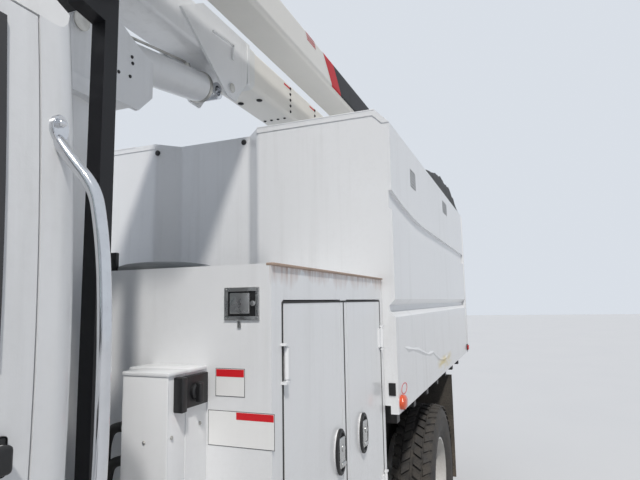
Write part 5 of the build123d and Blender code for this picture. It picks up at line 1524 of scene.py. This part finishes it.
def build_lift_pins():
    """Pin caps and keepers on the turret, the wedge plates and the elbow."""
    shape = bmesh.new()
    for (x, z), radius in ((SHOULDER_PIN, 0.062), (CYLINDER_FOOT, 0.054)):
        for y, way in ((TURRET_PLATE[1], 1), (TURRET_PLATE[0], -1)):
            add_turned(shape, (x, y + way * 0.0135, z), (0, way, 0),
                       ((0, radius * 0.72), (0.006, radius * 0.72), (0.009, radius * 0.6),
                        (0.009, 0.012)), 28)
            add_box(shape, (x - radius * 1.9, y, z + radius * 0.55),
                    (x - radius * 0.5, y + way * 0.008, z + radius), 0.002)
            for n in range(2):
                add_bolt(shape, (x - radius * (0.8 + n * 0.75), y + way * 0.008, z + radius * 0.78),
                         (0, way, 0), 0.007, 0.006)
    finish("turret_pin_caps", shape, "zinc", "turret")
    shape = bmesh.new()
    x, z = CYLINDER_EYE
    for y, way in ((0.242, 1), (-0.052, -1)):
        add_turned(shape, (x, y - way * 0.001, z), (0, way, 0),
                   ((0, 0.028), (0.005, 0.028), (0.008, 0.022), (0.008, 0.008)), 24)
    x, z = ELBOW
    add_turned(shape, (x, 0.592, z), (0, 1, 0),
               ((0, 0.058), (0.006, 0.058), (0.010, 0.048), (0.010, 0.012)), 32)
    for along, up in around(6, 0.035):
        add_bolt(shape, (x + along, 0.601, z + up), (0, 1, 0), 0.006, 0.005, washer=False)
    add_turned(shape, (x, -0.040, z), (0, -1, 0),
               ((0, 0.150), (0.004, 0.150), (0.006, 0.140), (0.006, 0.02)), 40)
    for along, up in around(8, 0.125):
        add_bolt(shape, (x + along, -0.045, z + up), (0, -1, 0), 0.008, 0.007)
    finish("boom_pin_caps", shape, "zinc", "lower_boom")
    shape = bmesh.new()
    for along, across in around(16, 0.267):
        add_bolt(shape, (TURRET_X + along, across, TURRET_FOOT - 0.0005), (0, 0, 1), 0.010, 0.012)
    finish("turret_ring_bolts", shape, "zinc", "turret")
    shape = bmesh.new()
    for along, across in around(12, 0.30, 0.13):
        add_bolt(shape, (TURRET_X + along, across, 1.030), (0, 0, 1), 0.012, 0.014)
    finish("pedestal_bolts", shape, "zinc")


def build_cylinder_fittings():
    """The gland, ports and hard line on the lift cylinder."""
    start, end = [Vector((x, BOOM_Y, z)) for x, z in (CYLINDER_FOOT, CYLINDER_EYE)]
    along = (end - start).normalized()
    up = Vector((0, 1, 0)).cross(along).normalized()
    if up.z < 0:
        up = -up
    length = (end - start).length
    shape = bmesh.new()
    add_turned(shape, start + along * (length - 0.150), along,
               ((0, 0.0885), (0.002, 0.093), (0.024, 0.093), (0.028, 0.088), (0.031, 0.060),
                (0.040, 0.056)), 40)
    for distance in (0.16, length - 0.24):
        add_turned(shape, start + along * distance + up * 0.083, up,
                   ((0, 0.022), (0.014, 0.022), (0.016, 0.017), (0.030, 0.017)), 20)
    finish("cylinder_gland", shape, "zinc", "lift_barrel")

    def spot(distance, rise, out=0.0):
        return start + along * distance + up * rise + Vector((0, out, 0))

    tube("cylinder_hard_line", [[spot(0.16, 0.110), spot(0.16, 0.138), spot(0.22, 0.118),
                                 spot(0.5, 0.118, 0.004),
                                 spot(length - 0.34, 0.118), spot(length - 0.25, 0.118),
                                 spot(length - 0.24, 0.110)]], 0.007, "zinc", "lift_barrel")


def build_boom_lines():
    """Two clamped lines along the top of the lower boom."""
    front, rear, z = 1.20, -3.70, 3.497
    for n in range(2):
        y = 0.03 + n * 0.03
        route = [(front, y, z), (front - 0.4, y, z + 0.004), (front - 1.6, y + 0.001, z + 0.002),
                 (front - 3.0, y - 0.001, z + 0.004), (rear, y, z)]
        tube(f"lower_boom_line_{n + 1}", [route], 0.011, "hose_rubber", "lower_boom")
    shape = bmesh.new()
    x = front - 0.1
    while x > rear:
        add_box(shape, (x - 0.015, 0.008, z - 0.040), (x + 0.015, 0.084, z + 0.014), 0.004)
        x -= 0.62
    finish("lower_boom_line_clamps", shape, "black_plastic", "lower_boom")


def build_bucket_fittings():
    """Rim, ribs, steps and control box of the bucket."""
    low, high = BUCKET_LOW, BUCKET_HIGH
    centre = (1.55, 0.94)
    loop = rounded_loop(centre, (0.600, 0.600), 0.070, 8)
    shape = bmesh.new()
    for z, thick, tall in ((high[2] - 0.018, 0.010, 0.040), (high[2] - 0.30, 0.005, 0.045),
                           (low[2] + 0.035, 0.006, 0.060)):
        add_hoop(shape, loop, lambda u, v, w, at=z: (u, v, at + w), 0.0002, thick, tall)
    finish("bucket_ribs", shape, "bucket_shell", "bucket")
    inner = rounded_loop(centre, (0.576, 0.576), 0.060, 8)
    shape = bmesh.new()
    rings = []
    for loop_points, z in ((inner, high[2] - 0.05), (inner, high[2] + 0.006), (loop, high[2] + 0.006),
                           (rounded_loop(centre, (0.614, 0.614), 0.076, 8), high[2] - 0.002),
                           (loop, high[2] - 0.008)):
        rings.append([(u, v, z) for u, v in loop_points])
    add_loop_strip(shape, rings[:2], rings[2:])
    finish("bucket_rim", shape, "cab_trim", "bucket")
    shape = bmesh.new()
    for z in (3.10, 3.42):
        add_box(shape, (1.45, 1.2395, z), (1.65, 1.2425, z + 0.12), 0.004)
        add_box(shape, (1.46, 1.240, z + 0.002), (1.64, 1.2490, z + 0.020), 0.004)
    finish("bucket_steps", shape, "cab_trim", "bucket")
    shape = bmesh.new()
    add_box(shape, (1.66, 0.665, 3.70), (1.80, 0.735, 3.84), 0.012, 3)
    for n in range(3):
        x = 1.69 + n * 0.04
        add_turned(shape, (x, 0.70, 3.84), (0, 0.12, 1),
                   ((0, 0.010), (0.004, 0.006), (0.036, 0.006), (0.040, 0.011),
                    (0.052, 0.011), (0.056, 0.006)), 14)
    finish("bucket_controls", shape, "cab_trim", "bucket")


def cushion(name, low, high, tilt):
    """A soft block with a sewn edge, rounded by subdivision; tilt leans its top back in X per metre."""
    shape = bmesh.new()
    low, high = Vector(low), Vector(high)
    size = high - low
    bmesh.ops.create_cube(shape, size=1.0)
    bmesh.ops.subdivide_edges(shape, edges=shape.edges[:], cuts=4, use_grid_fill=True)
    for v in shape.verts:
        u = Vector((v.co.x * 2, v.co.y * 2, v.co.z * 2))
        across, along, up = [1 - c ** 2 for c in u]
        swell = across * along + along * up + across * up
        pinch = 1 - 0.045 * (abs(u.x) ** 8 + abs(u.y) ** 8 + abs(u.z) ** 8)
        place = Vector((low.x + (u.x * pinch + 1) / 2 * size.x, low.y + (u.y * pinch + 1) / 2 * size.y,
                        low.z + (u.z * pinch + 1) / 2 * size.z))
        place += Vector((u.x, 0, u.z)) * 0.010 * swell
        place.z += 0.004 * sin(u.y * 9) * (1 if u.z > 0.9 else 0)
        place.x -= tilt * (place.z - low.z)
        v.co = place
    piece = finish(name, shape, "seat_vinyl")
    smooth = piece.modifiers.new("rounding", "SUBSURF")
    smooth.levels = 2
    smooth.render_levels = 2


def build_seats():
    """Two seats with padded cushions, backs and headrests on a boxed base."""
    back = CAB_LOW[0]
    shape = bmesh.new()
    for side in (1, -1):
        y0, y1 = side * 0.44 - 0.20, side * 0.44 + 0.20
        add_box(shape, (back + 0.22, y0, 1.0765), (back + 0.62, y1, 1.20), 0.01)
        add_box(shape, (back + 0.19, y0 - 0.03, 1.20), (back + 0.68, y1 + 0.03, 1.31), 0.02, 3)
        add_box(shape, (back + 0.10, side * 0.44 - 0.22, 1.42),
                (back + 0.14, side * 0.44 + 0.22, 1.95), 0.012)
    base = finish("seat_bases", shape, "black_plastic")
    for side, name in SIDES:
        y = side * 0.44
        cushion(f"seat_cushion_{name}", (back + 0.24, y - 0.255, 1.305),
                (back + 0.75, y + 0.255, 1.445), 0.0)
        cushion(f"seat_back_{name}", (back + 0.215, y - 0.25, 1.43), (back + 0.345, y + 0.25, 1.93),
                0.18)
        cushion(f"seat_headrest_{name}", (back + 0.135, y - 0.14, 1.945),
                (back + 0.235, y + 0.14, 2.09), 0.1)
    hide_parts("seats")


def build_dashboard():
    """Blank gauges, vents and a glove box lid on the dashboard."""
    x = COWL_X - 0.045 - 0.33
    shape = bmesh.new()
    for y, radius in ((0.56, 0.052), (0.44, 0.052), (0.335, 0.032), (0.66, 0.032)):
        add_turned(shape, (x + 0.0005, y, 1.575), (-1, 0, 0.1),
                   ((0, radius), (0.008, radius), (0.010, radius - 0.004), (0.004, radius - 0.008)), 32)
    for y in (0.0, -0.45, -0.75, 0.80):
        for n in range(5):
            add_box(shape, (x - 0.004, y - 0.05, 1.555 + n * 0.014),
                    (x + 0.001, y + 0.05, 1.562 + n * 0.014), 0.001, 1)
    add_box(shape, (x - 0.012, -0.70, 1.45), (x + 0.001, -0.22, 1.53), 0.008, 3)
    finish("dashboard_fittings", shape, "black_plastic")


def build_frame_bolts():
    """Bolt heads along the frame rails."""
    shape = bmesh.new()
    for side in (1, -1):
        y = side * 0.432
        for n in range(30):
            x = -3.05 + n * 0.235
            for z in (0.80, 0.94):
                if (n + int(z * 100)) % 3:
                    add_bolt(shape, (x, y, z), (0, side, 0), 0.010, 0.010)
    finish("rail_bolts", shape, "frame_black")


def build_oil_tank():
    """The low cap on the oil tank."""
    shape = bmesh.new()
    add_turned(shape, (0.635, 0.300, 1.944), (0, 0, 1),
               ((0, 0.055), (0.006, 0.055), (0.009, 0.048), (0.015, 0.046),
                (0.018, 0.038), (0.019, 0.012)), 32)
    finish("oil_cap", shape, "black_plastic")


def build_marks_on_turret():
    """Small bolts and a blank two-tone notice on the turret's side plates."""
    shape = bmesh.new()
    for x, z in ((0.928, 2.876), (0.822, 2.890), (0.817, 2.862), (0.900, 2.787), (0.831, 2.795)):
        for y, way in ((TURRET_PLATE[1], 1), (TURRET_PLATE[0], -1)):
            add_turned(shape, (x, y - way * 0.001, z), (0, way, 0),
                       ((0, 0.0080), (0.003, 0.0080), (0.006, 0.0060), (0.007, 0.0020)), 12)
    finish("turret_plate_bolts", shape, "black_plastic", "turret")
    shape = bmesh.new()
    add_box(shape, (0.98, TURRET_PLATE[1] + 0.0003, 3.00), (1.10, TURRET_PLATE[1] + 0.0013, 3.09), 0.0003, 1)
    finish("turret_notice_ground", shape, "sticker_white", "turret")
    shape = bmesh.new()
    add_box(shape, (0.982, TURRET_PLATE[1] + 0.0012, 3.058), (1.098, TURRET_PLATE[1] + 0.0019, 3.088),
            0.0002, 1)
    finish("turret_notice_header", shape, "sticker_red", "turret")


def build_roof_lamps():
    """Domed amber lenses on the roof's marker lamps."""
    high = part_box("lamps")[1][2]
    shape = bmesh.new()
    bases = bmesh.new()
    for n in range(-2, 3):
        y = n * 0.33
        add_box(bases, (2.470, y - 0.056, 2.4602), (2.560, y + 0.056, 2.470), 0.003)
        add_box(shape, (2.476, y - 0.049, 2.462), (2.554, y + 0.049, high + 0.006), 0.012, 3)
    finish("roof_lamp_lenses", shape, "lens_amber")
    finish("roof_lamp_bases", bases, "black_plastic")


def build_view(settings):
    """The photographer's camera."""
    data = bpy.data.cameras.new("photographer")
    data.sensor_width = 36.0
    data.sensor_fit = "HORIZONTAL"
    data.lens = settings.lens
    data.clip_start = 0.05
    data.clip_end = 100.0
    camera = bpy.data.objects.new("photographer", data)
    camera.location = settings.place
    camera.rotation_euler = settings.turn
    bpy.context.scene.collection.objects.link(camera)
    bpy.context.scene.camera = camera


def build_floor():
    """A pale, faintly mottled floor under the truck."""
    shape = bmesh.new()
    bmesh.ops.create_grid(shape, x_segments=1, y_segments=1, size=60.0)
    mesh = bpy.data.meshes.new("studio_floor")
    shape.to_mesh(mesh)
    shape.free()
    floor = bpy.data.objects.new("studio_floor", mesh)
    bpy.context.scene.collection.objects.link(floor)
    material = bpy.data.materials.new("studio_floor")
    material.use_nodes = True
    tree = material.node_tree
    shader = tree.nodes["Principled BSDF"]
    tone = blend_colour(tree, noise(tree, 0.6, 3.0), (0.60, 0.61, 0.62), (0.64, 0.645, 0.65))
    tree.links.new(tone, shader.inputs["Base Color"])
    shader.inputs["Roughness"].default_value = 0.8
    mesh.materials.append(material)


def build_lights():
    """A soft high sun from the front left, a sky that dims towards the left, and a pale background."""
    world = bpy.data.worlds.new("studio_sky")
    bpy.context.scene.world = world
    world.use_nodes = True
    tree = world.node_tree
    background = tree.nodes["Background"]
    path = tree.nodes.new("ShaderNodeLightPath")
    seen = math(tree, "MAXIMUM", path.outputs["Is Camera Ray"],
                math(tree, "MAXIMUM", path.outputs["Is Glossy Ray"], path.outputs["Is Transmission Ray"]))
    split = tree.nodes.new("ShaderNodeSeparateXYZ")
    tree.links.new(tree.nodes.new("ShaderNodeTexCoord").outputs["Generated"], split.inputs["Vector"])
    dimmer = times(tree, ramp(tree, split.outputs["Y"], -0.1, 0.9), 0.34)
    strength = math(tree, "MAXIMUM", times(tree, seen, 0.87), math(tree, "SUBTRACT", 0.55, dimmer))
    tree.links.new(blend_colour(tree, seen, (0.78, 0.86, 1.0), (0.80, 0.85, 0.92)),
                   background.inputs["Color"])
    tree.links.new(strength, background.inputs["Strength"])
    sun = bpy.data.lights.new("sun", "SUN")
    sun.energy = 2.65
    sun.angle = radians(4)
    sun.color = (1.0, 0.965, 0.92)
    lamp = bpy.data.objects.new("sun", sun)
    lamp.rotation_euler = Vector((-0.62, -0.38, -0.95)).to_track_quat("-Z", "Y").to_euler()
    bpy.context.scene.collection.objects.link(lamp)


# Operators

class TRUCK_OT_finishes(bpy.types.Operator):
    """Makes the finishes and puts them on the frame's solids"""
    bl_idname = "truck.finishes"
    bl_label = "Finishes"

    def execute(self, context):
        make_groups()
        make_materials(context.scene.truck_paint, context.scene.truck_wear)
        for node, name in NODE_FINISH.items():
            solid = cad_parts[node]
            for place in solid.material_slots:
                place.material = MATERIALS[name]
        for node, width in EDGE_ROUND.items():
            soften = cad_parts[node].modifiers.new("edge_round", "BEVEL")
            soften.width = width
            soften.segments = 2
            soften.limit_method = "ANGLE"
            soften.angle_limit = radians(40)
        return {"FINISHED"}


class TRUCK_OT_tyres(bpy.types.Operator):
    """Adds tyres with tread"""
    bl_idname = "truck.tyres"
    bl_label = "Tyres"

    def execute(self, context):
        build_tyres(context.scene.truck_wear)
        return {"FINISHED"}


class TRUCK_OT_wheel_centres(bpy.types.Operator):
    """Adds hubs and wheel nuts"""
    bl_idname = "truck.wheel_centres"
    bl_label = "Wheel centres"

    def execute(self, context):
        build_wheel_centres()
        return {"FINISHED"}


class TRUCK_OT_chip_trim(bpy.types.Operator):
    """Adds trim, vents, lamps and wear to the chip box"""
    bl_idname = "truck.chip_trim"
    bl_label = "Chip box trim"

    def execute(self, context):
        build_chip_trim()
        return {"FINISHED"}


class TRUCK_OT_tool_trim(bpy.types.Operator):
    """Adds lips, latches, notices and the valve box to the tool boxes"""
    bl_idname = "truck.tool_trim"
    bl_label = "Tool box trim"

    def execute(self, context):
        build_tool_box_trim()
        return {"FINISHED"}


class TRUCK_OT_cab_details(bpy.types.Operator):
    """Adds handles and wipers to the cab"""
    bl_idname = "truck.cab_details"
    bl_label = "Cab details"

    def execute(self, context):
        build_cab_details()
        return {"FINISHED"}


class TRUCK_OT_boom_details(bpy.types.Operator):
    """Adds the band, marks, sleeve and bolts to the booms"""
    bl_idname = "truck.boom_details"
    bl_label = "Boom details"

    def execute(self, context):
        build_boom_marks()
        build_boom_sleeve()
        build_boom_bolts()
        return {"FINISHED"}


class TRUCK_OT_chip_rear(bpy.types.Operator):
    """Adds lock rods, lamps and hitch rims at the rear"""
    bl_idname = "truck.chip_rear"
    bl_label = "Chip box rear"

    def execute(self, context):
        build_gate_hardware()
        build_rear_lamps()
        return {"FINISHED"}


class TRUCK_OT_nose(bpy.types.Operator):
    """Adds mesh, bezels and louvres to the nose"""
    bl_idname = "truck.nose"
    bl_label = "Nose"

    def execute(self, context):
        build_nose()
        return {"FINISHED"}


class TRUCK_OT_seals(bpy.types.Operator):
    """Adds rubber round the windows"""
    bl_idname = "truck.seals"
    bl_label = "Window seals"

    def execute(self, context):
        build_seals()
        return {"FINISHED"}


class TRUCK_OT_chassis_parts(bpy.types.Operator):
    """Adds tank straps, steps and rail bolts"""
    bl_idname = "truck.chassis_parts"
    bl_label = "Chassis fittings"

    def execute(self, context):
        build_tank_fittings()
        build_frame_bolts()
        build_oil_tank()
        return {"FINISHED"}


class TRUCK_OT_cab_outside(bpy.types.Operator):
    """Adds mirror glass, grab handles, guard bolts and roof lenses"""
    bl_idname = "truck.cab_outside"
    bl_label = "Cab fittings"

    def execute(self, context):
        build_mirror_glass()
        build_grab_handles()
        build_guard_bolts()
        build_roof_lamps()
        return {"FINISHED"}


class TRUCK_OT_cab_inside(bpy.types.Operator):
    """Adds padded seats and the dashboard fittings"""
    bl_idname = "truck.cab_inside"
    bl_label = "Cab inside"

    def execute(self, context):
        build_seats()
        build_dashboard()
        return {"FINISHED"}


class TRUCK_OT_lift_parts(bpy.types.Operator):
    """Adds pin caps, glands, lines and notices to the lift"""
    bl_idname = "truck.lift_parts"
    bl_label = "Lift fittings"

    def execute(self, context):
        build_lift_pins()
        build_cylinder_fittings()
        build_boom_lines()
        build_marks_on_turret()
        return {"FINISHED"}


class TRUCK_OT_bucket_parts(bpy.types.Operator):
    """Adds the rim, ribs, steps and controls of the bucket"""
    bl_idname = "truck.bucket_parts"
    bl_label = "Bucket fittings"

    def execute(self, context):
        build_bucket_fittings()
        return {"FINISHED"}


class TRUCK_OT_stage(bpy.types.Operator):
    """Sets the floor, the light and the camera"""
    bl_idname = "truck.stage"
    bl_label = "Stage"

    def execute(self, context):
        context.scene.view_settings.view_transform = "Standard"
        build_floor()
        build_lights()
        build_view(context.scene.truck_view)
        return {"FINISHED"}


OPERATORS = (
    TRUCK_OT_finishes, TRUCK_OT_tyres, TRUCK_OT_wheel_centres, TRUCK_OT_chip_trim, TRUCK_OT_tool_trim,
    TRUCK_OT_cab_details, TRUCK_OT_boom_details, TRUCK_OT_chip_rear, TRUCK_OT_nose, TRUCK_OT_seals,
    TRUCK_OT_chassis_parts, TRUCK_OT_cab_outside, TRUCK_OT_cab_inside, TRUCK_OT_lift_parts,
    TRUCK_OT_bucket_parts, TRUCK_OT_stage,
)


class TRUCK_PT_panel(bpy.types.Panel):
    """Sizes, colours and steps of the bucket truck"""
    bl_label = "Bucket Truck"
    bl_idname = "TRUCK_PT_panel"
    bl_space_type = "VIEW_3D"
    bl_region_type = "UI"
    bl_category = "Bucket Truck"

    def draw(self, context):
        scene = context.scene
        for settings in (scene.truck_paint, scene.truck_wear, scene.truck_view):
            box = self.layout.box()
            for name in settings.__annotations__:
                box.prop(settings, name)
        for operator in OPERATORS:
            self.layout.operator(operator.bl_idname)


CLASSES = (TruckPaint, TruckWear, TruckView, *OPERATORS, TRUCK_PT_panel)


def register():
    """Registers the classes and the scene's settings."""
    for item in CLASSES:
        bpy.utils.register_class(item)
    bpy.types.Scene.truck_paint = bpy.props.PointerProperty(type=TruckPaint)
    bpy.types.Scene.truck_wear = bpy.props.PointerProperty(type=TruckWear)
    bpy.types.Scene.truck_view = bpy.props.PointerProperty(type=TruckView)


def unregister():
    """Removes the classes and the scene's settings."""
    del bpy.types.Scene.truck_view
    del bpy.types.Scene.truck_wear
    del bpy.types.Scene.truck_paint
    for item in reversed(CLASSES):
        bpy.utils.unregister_class(item)


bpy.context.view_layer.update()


def main():
    """Builds every piece in order."""
    register()
    bpy.ops.truck.finishes()
    bpy.ops.truck.tyres()
    bpy.ops.truck.wheel_centres()
    bpy.ops.truck.chip_trim()
    bpy.ops.truck.tool_trim()
    bpy.ops.truck.cab_details()
    bpy.ops.truck.boom_details()
    bpy.ops.truck.chip_rear()
    bpy.ops.truck.nose()
    bpy.ops.truck.seals()
    bpy.ops.truck.chassis_parts()
    bpy.ops.truck.cab_outside()
    bpy.ops.truck.cab_inside()
    bpy.ops.truck.lift_parts()
    bpy.ops.truck.bucket_parts()
    bpy.ops.truck.stage()


if __name__ == "__main__":
    main()
